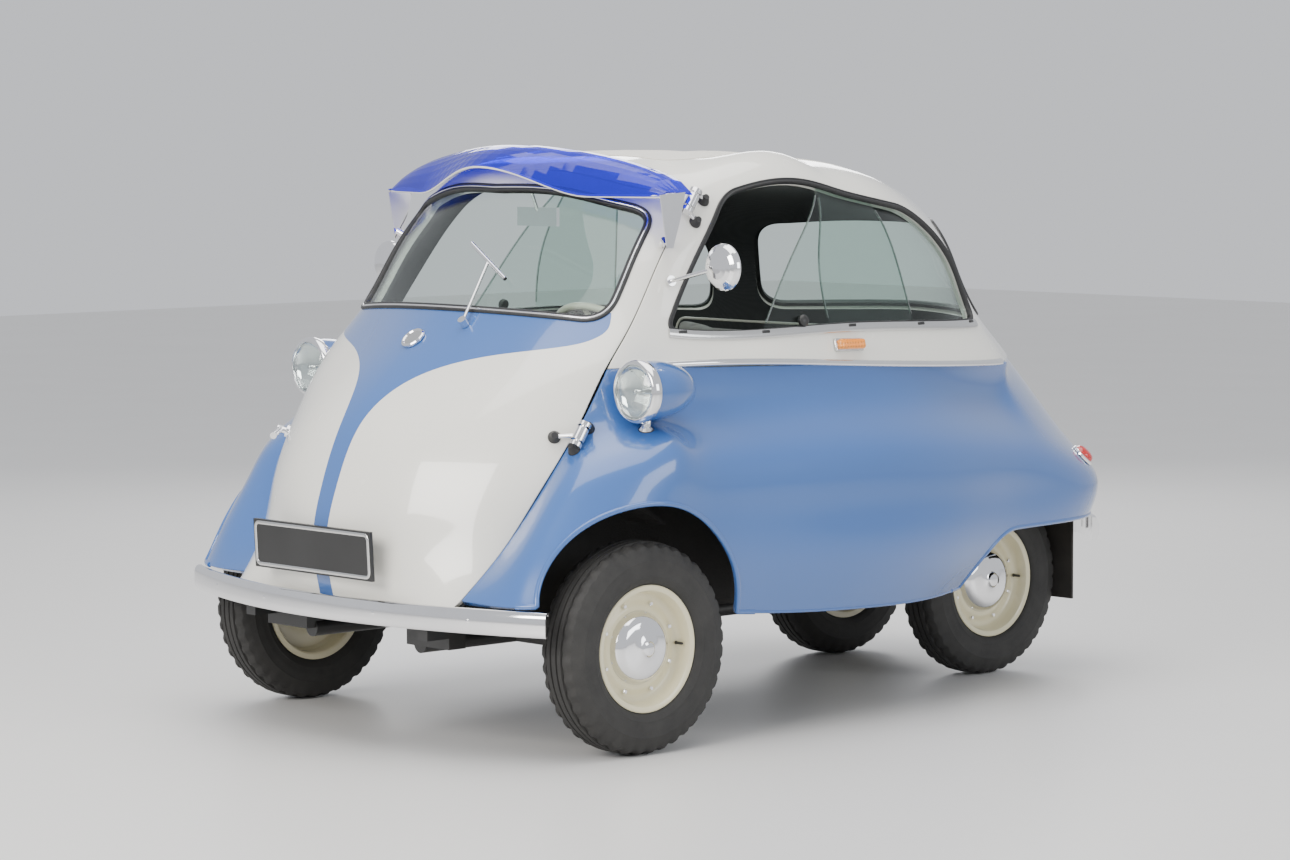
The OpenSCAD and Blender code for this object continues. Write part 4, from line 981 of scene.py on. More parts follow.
def roundSection(wide, high, sides=12, lift=0.0):
    return [(wide * math.cos(a), high * math.sin(a) + lift) for a in np.linspace(0, math.tau, sides,
            endpoint=False)]


# windows: rubber, bright inserts and panes


def loopOn(skin, loop, depth=0.0):
    n = skin.out(loop[:, 0], loop[:, 1])
    return skin.at(loop[:, 0], loop[:, 1]) - depth * n, n


sealSection = [(-0.0092, -0.0105), (0.0085, -0.0105), (0.0092, -0.004), (0.0098, 0.0012), (0.0086, 0.0042),
               (0.0058, 0.0052), (0.0036, 0.0045), (0.0028, 0.0030), (-0.0028, 0.0030), (-0.0036, 0.0045),
               (-0.0062, 0.0048), (-0.0086, 0.0030), (-0.0096, -0.0012), (-0.0094, -0.006)]


def makeWindscreen():
    points, normals = loopOn(cabin, insetLoop(screenLoop, 4))
    give(stripPiece("windscreenRubber", points, normals, sealSection, "sealRubber"), "door", "rubber",
            "windscreen_seal")
    insert = [(0.0027, 0.0028), (0.0018, 0.0050), (0, 0.0058), (-0.0018, 0.0050), (-0.0027, 0.0028)]
    give(stripPiece("windscreenInsert", points, normals, insert, "chrome"), "door", "chrome")
    pane = shellPiece("windscreenPane", cabin, insetLoop(screenLoop, 7), [], 22.0, 0.0048, ["windowGlass"],
                      depth=0.0045, edge=0)
    give(pane, "door", "glass", "windscreen_glass")


windowFit = {"sealIn": 3, "paneIn": 5, "frontPane": [(880, 640), (1372, 640), (1328, 1010), (1016, 1010)],
             "rearPaneFrom": ((1118, 640), (1012, 1010)), "frontDepth": 0.0055, "rearDepth": 0.0125}


def makeSideWindows():
    points, normals = loopOn(cabin, insetLoop(sideLoop, windowFit["sealIn"]))
    slim = [(a * 0.62, b * 0.8) for a, b in sealSection]
    rubber = stripPiece("leftWindowRubber", points, normals, slim, "sealRubber")
    give(rubber, "body", "rubber", "side_window_seals")
    give(copyPiece(rubber, "rightWindowRubber", flipX), "body", "rubber")
    room = insetLoop(sideLoop, windowFit["paneIn"])
    corners = [np.array(p, float) for p in windowFit["frontPane"]]

    def leftOf(a, b):
        return lambda p: (b[0] - a[0]) * (p[1] - a[1]) - (b[1] - a[1]) * (p[0] - a[0])

    front = room
    for a, b in zip(corners, corners[1:] + corners[:1]):
        front = clipLoop(front, leftOf(a, b))
    a, b = (np.array(p, float) for p in windowFit["rearPaneFrom"])
    rear = clipLoop(room, leftOf(b, a))
    for name, loop, depth in (("FrontPane", front, windowFit["frontDepth"]), ("RearPane", rear,
            windowFit["rearDepth"])):
        loop = filledLoop(loop, 24)
        pane = shellPiece("left" + name, cabin, loop, [], 24.0, 0.0042, ["windowGlass"], depth=depth, edge=0)
        give(pane, "body", "glass", "side_glass")
        give(copyPiece(pane, "right" + name, flipX), "body", "glass")
        # ground edges of the pane, which catch the light
        edge = [p for p in loop if windowFit["paneIn"] + 672 < p[1] < 975]
        for tag, pick in (("Fore", min), ("Aft", max)):
            side = np.array(sorted([p for p in edge if abs(p[0] - lineU(loop, p[1], pick)) < 4],
                    key=lambda p: p[1]))
            if len(side) < 3 or (name == "RearPane" and tag == "Aft"):
                continue
            points, normals = loopOn(cabin, side, depth + 0.0021)
            strip = stripPiece("left" + name + tag + "Edge", points, normals,
                               [(-0.0014, -0.0022), (0.0014, -0.0022), (0.0014, 0.0022), (-0.0014, 0.0022)],
                               "edgeGlass", False)
            give(strip, "body", "glass")
            give(copyPiece(strip, "right" + name + tag + "Edge", flipX), "body", "glass")
    # the polished sill channel under the glass, with its small black clips
    us = np.linspace(604, 1652, 60)
    points = cabin.at(us, 661.0)
    normals = cabin.out(us, 661.0)
    rail = [(-0.010, 0.0004), (0.009, 0.0004), (0.010, 0.0035), (0.006, 0.0062), (-0.007, 0.0062), (-0.010,
            0.0045)]
    sill = stripPiece("leftSillRail", points, normals, rail, "polishedSteel", False)
    give(sill, "body", "chrome")
    give(copyPiece(sill, "rightSillRail", flipX), "body", "chrome")
    clips = []
    for u in (640, 890, 1160, 1380, 1610):
        p, n = cabin.at(u, 667.0)[0], cabin.out(u, 667.0)[0]
        turn = Vector(n).to_track_quat("Z", "Y").to_matrix()
        clips.append(blockPiece("clip", p + 0.0055 * n, (0.022, 0.007, 0.006), "blackPlastic", 0.0014, turn))
    clips = joinPieces(clips, "leftSillClips")
    give(clips, "body", "black_plastic")
    give(copyPiece(clips, "rightSillClips", flipX), "body", "black_plastic")
    # the sliding pane's round catch
    p, n = cabin.at(1010, 690.0)[0], cabin.out(1010, 690.0)[0]
    knob = turnedPiece("leftPaneCatch",
            [(0, 0), (0.012, 0), (0.014, 0.003), (0.014, 0.010), (0.011, 0.014), (0.005, 0.016), (0, 0.016)],
                       p - 0.004 * n, n, "blackPlastic", 24)
    give(knob, "body", "black_plastic")
    give(copyPiece(knob, "rightPaneCatch", flipX), "body", "black_plastic")


# the edge of a loop at height v on the side that pick chooses
def lineU(loop, v, pick):
    hits = []
    for a, b in zip(loop, np.roll(loop, -1, 0)):
        if (a[1] - v) * (b[1] - v) <= 0 and a[1] != b[1]:
            hits.append(a[0] + (b[0] - a[0]) * (v - a[1]) / (b[1] - a[1]))
    return pick(hits) if hits else -1e9


def makeRearWindow():
    points, normals = loopOn(cabin, insetLoop(rearLoop, 4))
    give(stripPiece("rearWindowRubber", points, normals, sealSection, "sealRubber"), "body", "rubber",
            "rear_window_seal")
    pane = shellPiece("rearPane", cabin, insetLoop(rearLoop, 7), [], 24.0, 0.0048, ["windowGlass"],
            depth=0.0045, edge=0)
    give(pane, "body", "glass", "rear_glass")


def makeBeltTrim():
    us = np.linspace(533, 1690, 90)
    section = [(-0.0075, 0.0003), (0.0075, 0.0003), (0.0072, 0.0028), (0.0045, 0.0052), (0.0, 0.0060),
            (-0.0045, 0.0052),
               (-0.0072, 0.0028)]
    strip = stripPiece("leftBeltStrip", cabin.at(us, 545.0), cabin.out(us, 545.0), section, "chrome", False)
    give(strip, "body", "chrome", "belt_trim")
    give(copyPiece(strip, "rightBeltStrip", flipX), "body", "chrome")


makeLowerBody()
makeArchLips()
print("blue body done")
makeUpperBody()
makeDoor()
print("white body and door done")
makeWindscreen()
makeSideWindows()
makeRearWindow()
makeBeltTrim()
print("windows and belt done")


# wheels: drawn with the axle up +Z and the outer face on top

wheelFit = {"frontAt": (0.600, -0.7005, 0.240), "rearAt": (0.260, 0.7995, 0.240), "lugs": 40,
        "lugDeep": 0.0045,
            "nuts": 8, "nutRing": 0.1035}
tyreSide = [(0.132, 0.0422), (0.1443, 0.0432), (0.1475, 0.0490), (0.154, 0.0535), (0.160, 0.0552),
        (0.163, 0.0566),
            (0.166, 0.0560), (0.176, 0.0582), (0.186, 0.0588), (0.196, 0.0580), (0.199, 0.0586), (0.202,
                    0.0574),
            (0.213, 0.0550), (0.223, 0.0512), (0.231, 0.0478), (0.2365, 0.0400), (0.2385, 0.0340)]
treadRibs = [(0.2390, 0.0290), (0.2340, 0.0275), (0.2340, 0.0245), (0.2395, 0.0230), (0.2398, 0.0120),
        (0.2345, 0.0108),
             (0.2345, 0.0080), (0.2398, 0.0068)]
rimSection = [(0.020, 0.010), (0.084, 0.014), (0.090, 0.0145), (0.097, 0.013), (0.103, 0.0085),
        (0.112, 0.007),
              (0.119, 0.009), (0.124, 0.014), (0.127, 0.024), (0.1285, 0.038), (0.131, 0.0445), (0.136,
                      0.0470),
              (0.1415, 0.0475), (0.1438, 0.0462), (0.1438, 0.0440), (0.137, 0.0432), (0.1325,
                      0.0415), (0.131, 0.030),
              (0.131, -0.0415), (0.1438, -0.0440), (0.1438, -0.0470), (0.131, -0.0470), (0.127, -0.044),
              (0.125, -0.010), (0.118, -0.001), (0.100, 0.002), (0.080, 0.002), (0.020, 0.000),
              (0.020, 0.010)]
capSection = [(0, 0.0545), (0.009, 0.0543), (0.015, 0.0525), (0.0175, 0.0490), (0.022, 0.0465),
        (0.040, 0.0440),
              (0.056, 0.0420), (0.066, 0.0385), (0.074, 0.0320), (0.080, 0.0235), (0.0835, 0.0165), (0.0845,
                      0.0145),
              (0.080, 0.0125), (0, 0.0125)]


def makeTyre():
    side = tyreSide + treadRibs
    section = side + [(r, -z) for r, z in side[::-1]] + [side[0]]
    piece = turnedPiece("tyreMaster", section, (0, 0, 0), (0, 0, 1), "tyreRubber", wheelFit["lugs"] * 4, 28)
    # cross cuts that leave blocks along both shoulders
    for vert in piece.data.vertices:
        radius = math.hypot(vert.co.x, vert.co.y)
        turn = math.atan2(vert.co.y, vert.co.x) / math.tau * wheelFit["lugs"] + (0.5 if vert.co.z < 0 else 0)
        if radius > 0.2225 and abs(vert.co.z) > 0.0285 and (turn % 1.0) > 0.70:
            vert.co.x *= 1 - wheelFit["lugDeep"] / radius
            vert.co.y *= 1 - wheelFit["lugDeep"] / radius
            vert.co.z *= 0.985
    piece.data.update()
    return piece


def makeWheels():
    tyre = makeTyre()
    rim = turnedPiece("rimMaster", rimSection, (0, 0, 0), (0, 0, 1), "ivoryWheel", 72, 32)
    cap = turnedPiece("capMaster", capSection, (0, 0, 0), (0, 0, 1), "chrome", 72, 32)
    nuts = []
    for i in range(wheelFit["nuts"]):
        a = math.tau * (i + 0.5) / wheelFit["nuts"]
        at = (wheelFit["nutRing"] * math.cos(a), wheelFit["nutRing"] * math.sin(a), 0)
        nuts.append(turnedPiece("nut",
                [(0, 0.017), (0.0042, 0.017), (0.0056, 0.0152), (0.0056, 0.0055), (0, 0.0055)],
                                at, (0, 0, 1), "chrome", 6, 30))
    valve = turnedPiece("valve",
            [(0, 0.034), (0.0026, 0.034), (0.0032, 0.030), (0.0032, 0.018), (0.0044, 0.012), (0, 0.012)],
                        (0.1175, 0, 0), (0, 0, 1), "blackPlastic", 14)
    nuts = joinPieces(nuts, "nutMaster")
    parts = ((tyre, "Tyre", "tyre"), (rim, "Rim", "wheel_paint"), (cap, "HubCap", "chrome"),
            (nuts, "WheelNuts", "chrome"),
             (valve, "Valve", "black_plastic"))
    turn = Vector((1, 0, 0)).to_track_quat("Z", "Y").to_matrix().to_4x4()
    places = (("leftFront", wheelFit["frontAt"], 1, "left_wheel", "left_front_tyre", "left_front_rim"),
              ("rightFront", wheelFit["frontAt"], -1, "right_wheel", "right_front_tyre", "right_front_rim"),
              ("leftRear", wheelFit["rearAt"], 1, "rear_wheels", "rear_tyres", "rear_rims"),
              ("rightRear", wheelFit["rearAt"], -1, "rear_wheels", None, None))
    for tag, at, side, body, tyreNode, rimNode in places:
        place = Matrix.Translation(Vector(at)) @ turn
        if side < 0:
            place = flipX @ place
        for master, kind, slotName in parts:
            twin = copyPiece(master, tag + kind, place)
            nodes = [n for n, k in ((tyreNode, "Tyre"), (rimNode, "Rim")) if n and k == kind]
            give(twin, body, slotName, *nodes)
    for master, kind, slotName in parts:
        bpy.data.objects.remove(master)


# headlamps

lamp = {"at": (0.592, -0.6815, 0.812), "footU": 300, "footV": 404, "ribPitch": 0.0075, "ribDeep": 0.0005}


def makeHeadlamps():
    at, front = lamp["at"], (0, -1, 0)
    pod = turnedPiece("leftLampPod",
            [(0, -0.0145), (0.060, -0.0145), (0.0672, -0.0165), (0.068, -0.030), (0.0668, -0.060),
                                      (0.062, -0.090), (0.0525, -0.120), (0.038, -0.146), (0.020,
                                              -0.164), (0.008, -0.1705),
                                      (0, -0.1718)], at, front, "skyBlue", 64, 50)
    ring = turnedPiece("leftLampRing",
            [(0.0605, -0.010), (0.066, -0.0138), (0.0712, -0.0125), (0.0728, -0.006), (0.0728, -0.001),
                                        (0.0712, 0.0045), (0.068, 0.0090), (0.0645, 0.0112), (0.0618,
                                                0.0108), (0.0605, 0.0085),
                                        (0.0605, -0.010)], at, front, "chrome", 64, 45)
    bowl = turnedPiece("leftLampReflector",
            [(0.0602, 0.003), (0.0560, -0.0025), (0.046, -0.0075), (0.030, -0.0108),
                                             (0.012, -0.0122), (0, -0.0124), (0, -0.0135),
                                             (0.0602, -0.0135), (0.0602, 0.003)],
                       at, front, "reflector", 64, 45)
    bulb = turnedPiece("leftLampBulb",
            [(0, 0.009), (0.004, 0.008), (0.0062, 0.004), (0.0062, 0), (0.004, -0.005),
                                        (0.004, -0.0118), (0, -0.0118)], at, front, "polishedSteel", 24, 50)
    dome = [(0.0602 * math.sin(t), 0.0045 + 0.0172 * (1 - (math.sin(t)) ** 2.2)) for t in np.linspace(0,
            math.pi / 2, 18)]
    back = [(r, z - 0.0032) for r, z in dome[::-1]]
    lens = turnedPiece("leftLampLens", dome + back, (0, 0, 0), (0, 0, 1), "lampGlass", 128, 55)
    for vert in lens.data.vertices:
        if vert.co.z > 0.004 and math.hypot(vert.co.x, vert.co.y) < 0.058:
            vert.co.z += lamp["ribDeep"] * (math.cos(math.tau * vert.co.x / lamp["ribPitch"]) - 1)
    placeMesh(lens, at, front)
    foot, out = wing.at(lamp["footU"], lamp["footV"])[0], wing.out(lamp["footU"], lamp["footV"])[0]
    base = turnedPiece("leftLampFoot",
            [(0, 0.011), (0.0075, 0.0105), (0.0105, 0.0075), (0.013, 0.004), (0.0155, 0.0016),
                                        (0.0155, 0.0004), (0, 0.0004)], foot, out, "chrome", 32)
    stem = barPiece("stem", [foot + 0.006 * out, (foot + np.array(at) + [0, 0.044, -0.03]) / 2 + 0.006 * out,
                             np.array(at) + [0, 0.044, -0.052]], 0.0095, "chrome", 18)
    base = joinPieces([base, stem], "leftLampFoot")
    gasket = turnedPiece("leftLampGasket", [(0, 0.0015), (0.0175, 0.0015), (0.018, 0.0004), (0, 0.0004)],
            foot, out, "sealRubber", 32)
    for piece, kind, slotName, nodes in ((pod, "LampPod", "blue_paint", ("headlamp_pods",)),
                                         (ring, "LampRing", "chrome", ("headlamp_rims",)),
                                         (bowl, "LampReflector", "chrome", ()), (bulb, "LampBulb", "chrome",
                                                 ()),
                                         (lens, "LampLens", "lens", ("headlamp_lenses",)), (base,
                                                 "LampFoot", "chrome", ()),
                                         (gasket, "LampGasket", "rubber", ())):
        give(piece, "body", slotName, *nodes)
        give(copyPiece(piece, "right" + kind, flipX), "body", slotName)


# bumper, plates and badge

bumper = {"frontY": -1.1425, "sweep": 0.140, "half": 0.645, "z": 0.318, "boltX": (0.20, 0.46)}


def bumperLine(x):
    return bumper["frontY"] + bumper["sweep"] * (x / bumper["half"]) ** 2


def makeFrontBumper():
    xs = np.linspace(-bumper["half"], bumper["half"], 81)
    points = np.stack([xs, bumperLine(xs) + 0.0005, np.full(81, bumper["z"])], 1)
    slope = 2 * bumper["sweep"] * xs / bumper["half"] ** 2
    normals = np.stack([slope, -np.ones(81), np.zeros(81)], 1)
    normals /= np.linalg.norm(normals, axis=1)[:, None]
    section = [(0.0288, -0.012), (0.0278, -0.004), (0.0235, -0.0005), (0.010, 0), (-0.012, -0.0002),
            (-0.0195, -0.0015),
               (-0.0255, -0.005), (-0.0286, -0.0105), (-0.0280, -0.0165), (-0.0245, -0.0200), (-0.0200,
                       -0.0200),
               (-0.0205, -0.0165), (-0.0235, -0.0140), (-0.0228, -0.0095), (-0.018, -0.0055), (0.018,
                       -0.0045),
               (0.0245, -0.0075), (0.0255, -0.013)]
    bar = stripPiece("frontBumperBar", points, normals, section, "chrome", False, 42)
    give(bar, "body", "chrome", "front_bumper")
    bolts = []
    for x in [s * b for b in bumper["boltX"] for s in (-1, 1)]:
        n = Vector((2 * bumper["sweep"] * x / bumper["half"] ** 2, -1, 0)).normalized()
        bolts.append(turnedPiece("bolt",
                [(0, 0.0042), (0.005, 0.0036), (0.0085, 0.0016), (0.0098, -0.0005), (0, -0.0005)],
                                 (x, bumperLine(x) + 0.0042, bumper["z"]), n, "chrome", 28, 50))
    give(joinPieces(bolts, "frontBumperBolts"), "body", "chrome")


# a raised rounded rim round a blank plate
def makePlateRim(name, centre, wide, high, lean, face, body="body"):
    corner = 0.014
    loop = filledLoop(roundedLoop([(-wide / 2, -high / 2, corner), (wide / 2, -high / 2, corner),
            (wide / 2, high / 2, corner),
                                   (-wide / 2, high / 2, corner)], 8), 0.012)
    points = np.stack([loop[:, 0] + centre[0], centre[1] + face * 0.001 + loop[:, 1] * math.sin(lean),
            loop[:, 1] * math.cos(lean) + centre[2]], 1)
    normals = np.tile([0, face * math.cos(lean), -face * math.sin(lean)], (len(points), 1))
    rim = stripPiece(name, points, normals, roundSection(0.0045, 0.0022, 12), "polishedSteel", True, 60)
    give(rim, body, "chrome")


def makeBadge():
    p, n = cabin.at(0, 598)[0], cabin.out(0, 598)[0]
    rings = turnedPiece("badgeRing",
            [(0.022, 0.0062), (0.0245, 0.0086), (0.0275, 0.0084), (0.0298, 0.0060), (0.030, 0.0012),
                                      (0.022, 0.0012), (0.022, 0.0062)], p, n, "chrome", 48)
    face = turnedPiece("badgeFace",
            [(0, 0.0068), (0.012, 0.0066), (0.0225, 0.0058), (0.0225, 0.0012), (0, 0.0012)], p, n,
                       "polishedSteel", 48)
    give(rings, "door", "chrome", "door_badge")
    give(face, "door", "chrome")


# lamps on the skin

def makeIndicators():
    p, n = cabin.at(1150, 606)[0], cabin.out(1150, 606)[0]
    along = cabin.at(1180, 606)[0] - cabin.at(1120, 606)[0]
    along /= np.linalg.norm(along)
    up = np.cross(n, along)
    turn = Matrix((along, up, n)).transposed()
    base = blockPiece("leftIndicatorBase", p + 0.0045 * n, (0.092, 0.031, 0.008), "polishedSteel", 0.0032,
            turn)
    lens = blockPiece("lens", p + 0.0150 * n, (0.084, 0.025, 0.018), "amberLens", 0.0075, turn, 5)
    ribs = [blockPiece("rib", p + 0.0238 * n + along * x, (0.0022, 0.019, 0.0018), "amberLens", 0.0008,
            turn, 2)
            for x in np.linspace(-0.030, 0.030, 13)]
    lens = joinPieces([lens] + ribs, "leftIndicatorLens")
    give(base, "body", "chrome", "side_indicators")
    give(lens, "body", "amber")
    give(copyPiece(base, "rightIndicatorBase", flipX), "body", "chrome")
    give(copyPiece(lens, "rightIndicatorLens", flipX), "body", "amber")


def makeTailLamps():
    p, n = wing.at(2170, 300)[0], wing.out(2170, 300)[0]
    base = turnedPiece("leftTailBase",
            [(0, 0.004), (0.027, 0.0075), (0.030, 0.0078), (0.0315, 0.006), (0.0315, 0.0006), (0, 0.0006)],
                       p, n, "chrome", 48)
    lens = turnedPiece("leftTailLens",
            [(0, 0.0215), (0.010, 0.0210), (0.018, 0.0190), (0.0235, 0.0150), (0.0262, 0.0100),
                                        (0.0265, 0.0060), (0, 0.0060)], p, n, "redLens", 48, 50)
    give(base, "body", "chrome", "tail_lamps")
    give(lens, "body", "red_lens")
    give(copyPiece(base, "rightTailBase", flipX), "body", "chrome")
    give(copyPiece(lens, "rightTailLens", flipX), "body", "red_lens")


# hinge boots and mirror glass, on the CAD arms

def makeBoots():
    cone = [(0, 0.020), (0.0072, 0.020), (0.0085, 0.016), (0.0115, 0.009), (0.0142, 0.004), (0.0150,
            0.0012), (0, 0.0012)]
    doorFeet = [(cabin, 462, 376), (cabin, 462, 984)]
    bodyFeet = [(wing, 44, 380), (wing, 44, 428), (cabin, 546, 928), (cabin, 546, 986)]
    for name, body, feet in (("doorHingeBoots", "door", doorFeet), ("bodyHingeBoots", "body", bodyFeet)):
        boots = [turnedPiece("boot", cone, skin.at(u, v)[0], skin.out(u, v)[0], "sealRubber", 28,
                40) for skin, u, v in feet]
        give(joinPieces(boots, name), body, "rubber")


def makeMirrorGlass():
    for name, at in (("leftMirrorGlass", (0.640, -0.4675, 1.084)), ("rightMirrorGlass",
            (-0.640, -0.4025, 1.058))):
        glass = turnedPiece(name,
                [(0, 0.0134), (0.046, 0.0134), (0.0485, 0.0126), (0.0485, 0.0122), (0, 0.0122)], at,
                (0, 1, 0),
                            "reflector", 48)
        give(glass, "body", "chrome")


# visor edging

visor = {"half": 0.486}


def visorPoint(s, t):
    rise = max(0, 1 - s * s) ** 0.6
    back = np.array([-0.462 - 0.058 * (1 - s * s), 1.243 + 0.100 * rise])
    ridge = np.array([-0.548 - 0.062 * (1 - s * s), 1.258 + 0.116 * rise])
    front = np.array([-0.560 - 0.151 * (1 - math.sqrt(s * s + 0.02)), 1.240 + 0.066 * max(0,
            1 - s * s / 0.38) ** 2])
    q = (1 - t) ** 2 * back + 2 * t * (1 - t) * ridge + t * t * front
    return np.array([visor["half"] * s, q[0] + 0.0495, q[1]])


def makeVisorEdge():
    ss = np.linspace(-1, 1, 61)
    points = np.array([visorPoint(s, 1.0) for s in ss])
    inner = np.array([visorPoint(s, 0.94) for s in ss])
    normals = points - inner
    normals /= np.linalg.norm(normals, axis=1)[:, None]
    strip = stripPiece("visorEdging", points - 0.002 * normals, normals, roundSection(0.0034, 0.0042, 12),
            "creamWhite", False, 60)
    give(strip, "door", "white_paint")


# steering wheel and dial

helm = {"at": (0.240, -0.3965, 0.850), "way": (0, 0.7108, 0.7034), "radius": 0.190}


def makeSteeringWheel():
    at, way = helm["at"], helm["way"]
    rim = turnedPiece("steeringRim",
            [(helm["radius"] + 0.0088 * math.cos(a), 0.0088 * math.sin(a))
            for a in np.linspace(0, math.tau, 17)],
                      at, way, "ivoryPlastic", 72, 60)
    hub = turnedPiece("steeringHub",
            [(0, 0.012), (0.018, 0.0118), (0.028, 0.0095), (0.0318, 0.004), (0.0318, -0.016), (0.020, -0.018),
                                      (0.0112, -0.030), (0.0110, -0.400), (0, -0.400)], at, way,
                                      "ivoryPlastic", 40, 40)
    button = turnedPiece("hornButton", [(0, 0.0168), (0.008, 0.0162), (0.0135, 0.0140), (0.0150, 0.0118),
            (0, 0.0118)], at, way, "chrome", 36)
    turn = Vector(way).to_track_quat("Z", "Y").to_matrix()
    spokes = []
    for degrees in (90, 210, 330):
        a = math.radians(degrees)
        line = [np.array(at) + np.array(turn @ Vector((r * math.cos(a), r * math.sin(a),
                -0.010 + 0.010 * (r / 0.19))))
                for r in np.linspace(0.022, helm["radius"] - 0.004, 8)]
        spokes.append(barPiece("spoke", line, 0.0062, "ivoryPlastic", 14))
    give(joinPieces([rim, hub] + spokes, "steeringWheel"), "steering", "cream_plastic", "steering_wheel")
    give(button, "steering", "chrome")


def makeDial():
    root = cabin.at(255, 500)[0] - 0.0316 * cabin.out(255, 500)[0]
    tilt = math.radians(80)
    way = np.array([0, math.sin(tilt), math.cos(tilt)])
    at = root + [-0.008, 0.108, 0.002] + 0.084 * way
    ring = turnedPiece("dialRing", [(0.040, 0.0005), (0.044, 0.0042), (0.0475, 0.0030), (0.0490, 0.0002),
            (0.040, 0.0002)], at, way, "chrome", 48)
    face = turnedPiece("dialFace", [(0, 0.0012), (0.0402, 0.0012), (0.0402, 0.0004), (0, 0.0004)], at, way,
            "dialFace", 48)
    needle = barPiece("needle", [at + 0.003 * way, at + 0.003 * way + [0.018, 0, 0.020],
            at + 0.003 * way + [0.0205, 0, 0.0230]], 0.0008, "creamWhite", 8)
    give(ring, "door", "chrome")
    give(face, "door", "black_plastic")
    give(needle, "door", "cream_plastic")


# seat: two padded pieces, swollen by cloth pressure, then sewn channels and piping

seat = {"voxel": 0.006, "pressure": 4.0, "cap": 0.022, "channels": 9, "channelDeep": 0.005, "frames": 20}


def makePad(name, centre, size, lean, node, roomLow, roomHigh, face):
    turn = Matrix.Rotation(math.radians(lean), 3, "X")
    start = tuple(s - 0.014 for s in size)
    pad = blockPiece(name, (0, 0, 0), start, "seatCloth", min(start) * 0.30, None, 4)
    selectOnly(pad)
    pad.data.remesh_voxel_size = seat["voxel"]
    bpy.ops.object.voxel_remesh()
    before = np.array([v.co[:] for v in pad.data.vertices])
    cloth = pad.modifiers.new("cloth", "CLOTH")
    cloth.settings.use_pressure = True
    cloth.settings.uniform_pressure_force = seat["pressure"]
    cloth.settings.effector_weights.gravity = 0
    for f in range(1, seat["frames"] + 1):
        bpy.context.scene.frame_set(f)
    selectOnly(pad)
    bpy.ops.object.modifier_apply(modifier="cloth")
    bpy.context.scene.frame_set(1)
    after = np.array([v.co[:] for v in pad.data.vertices])
    move = after - before
    far = np.linalg.norm(move, axis=1)
    move *= np.minimum(1, seat["cap"] / np.maximum(far, 1e-9))[:, None]
    points = before + move
    half = np.array(size) / 2
    points = np.clip(points, -half, half)
    # sewn channels across the pad
    wide = points[:, 0] / half[0]
    ridge = np.abs(np.sin(math.pi * seat["channels"] * (wide + 1) / 2))
    side = (points[:, face] > 0.25 * half[face]).astype(float)
    points[:, face] -= side * seat["channelDeep"] * (1 - ridge ** 0.5)
    pad.data.vertices.foreach_set("co", points.ravel())
    pad.data.transform(Matrix.Translation(Vector(centre)) @ turn.to_4x4())
    for vert in pad.data.vertices:
        vert.co = Vector([min(max(c, low + 0.0008), high - 0.0008) for c, low, high in zip(vert.co, roomLow,
                roomHigh)])
    pad.data.update()
    smooth = pad.modifiers.new("smooth", "SUBSURF")
    smooth.levels = 1
    smooth.render_levels = 1
    selectOnly(pad)
    bpy.ops.object.modifier_apply(modifier="smooth")
    bpy.ops.object.shade_smooth()
    give(pad, "body", "seat_cloth", node)
    # piping round the front edge of the pad
    x, y, z = half[0] - 0.012, half[1] - 0.010, half[2] - 0.008
    corners = [(-x, -y, z), (x, -y, z), (x, y, z), (-x, y, z)] if face == 2 else [(-x, y * -1, -z), (x,
            y * -1, -z), (x, y * -1, z), (-x, y * -1, z)]
    flat = [(c[0], c[1] if face == 2 else c[2], 0.03) for c in corners]
    loop = filledLoop(roundedLoop(flat, 8), 0.014)
    level = z if face == 2 else -y
    line = [Vector((p[0], p[1], level)) if face == 2 else Vector((p[0], level, p[1])) for p in loop]
    line = np.array([tuple(Vector(centre) + turn @ p) for p in line])
    up = turn @ (Vector((0, 0, 1)) if face == 2 else Vector((0, -1, 0)))
    piping = stripPiece(name + "Piping", line, np.tile(up, (len(line), 1)), roundSection(0.0032, 0.0032,
            10), "seatPiping", True, 60)
    give(piping, "body", "seat_cloth")


def makeSeat():
    low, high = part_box("seat_cushion")
    centre = [(a + b) / 2 for a, b in zip(low, high)]
    makePad("seatCushionPad", centre, [b - a for a, b in zip(low, high)], 0, "seat_cushion", low, high, 2)
    low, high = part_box("seat_backrest")
    centre = [(a + b) / 2 for a, b in zip(low, high)]
    makePad("seatBackPad", centre, (high[0] - low[0], 0.068, 0.326), -10, "seat_backrest", low, high, 1)


# the fabric roof: one stretched sheet over two hoops, with a sewn hem

roof = {"crown": 0.026, "shut": 0.990, "thick": 0.0016, "rings": (1, 0.97, 0.9, 0.8, 0.68, 0.55, 0.42, 0.28,
        0.14, 0.04), "hoop": 0.0022}


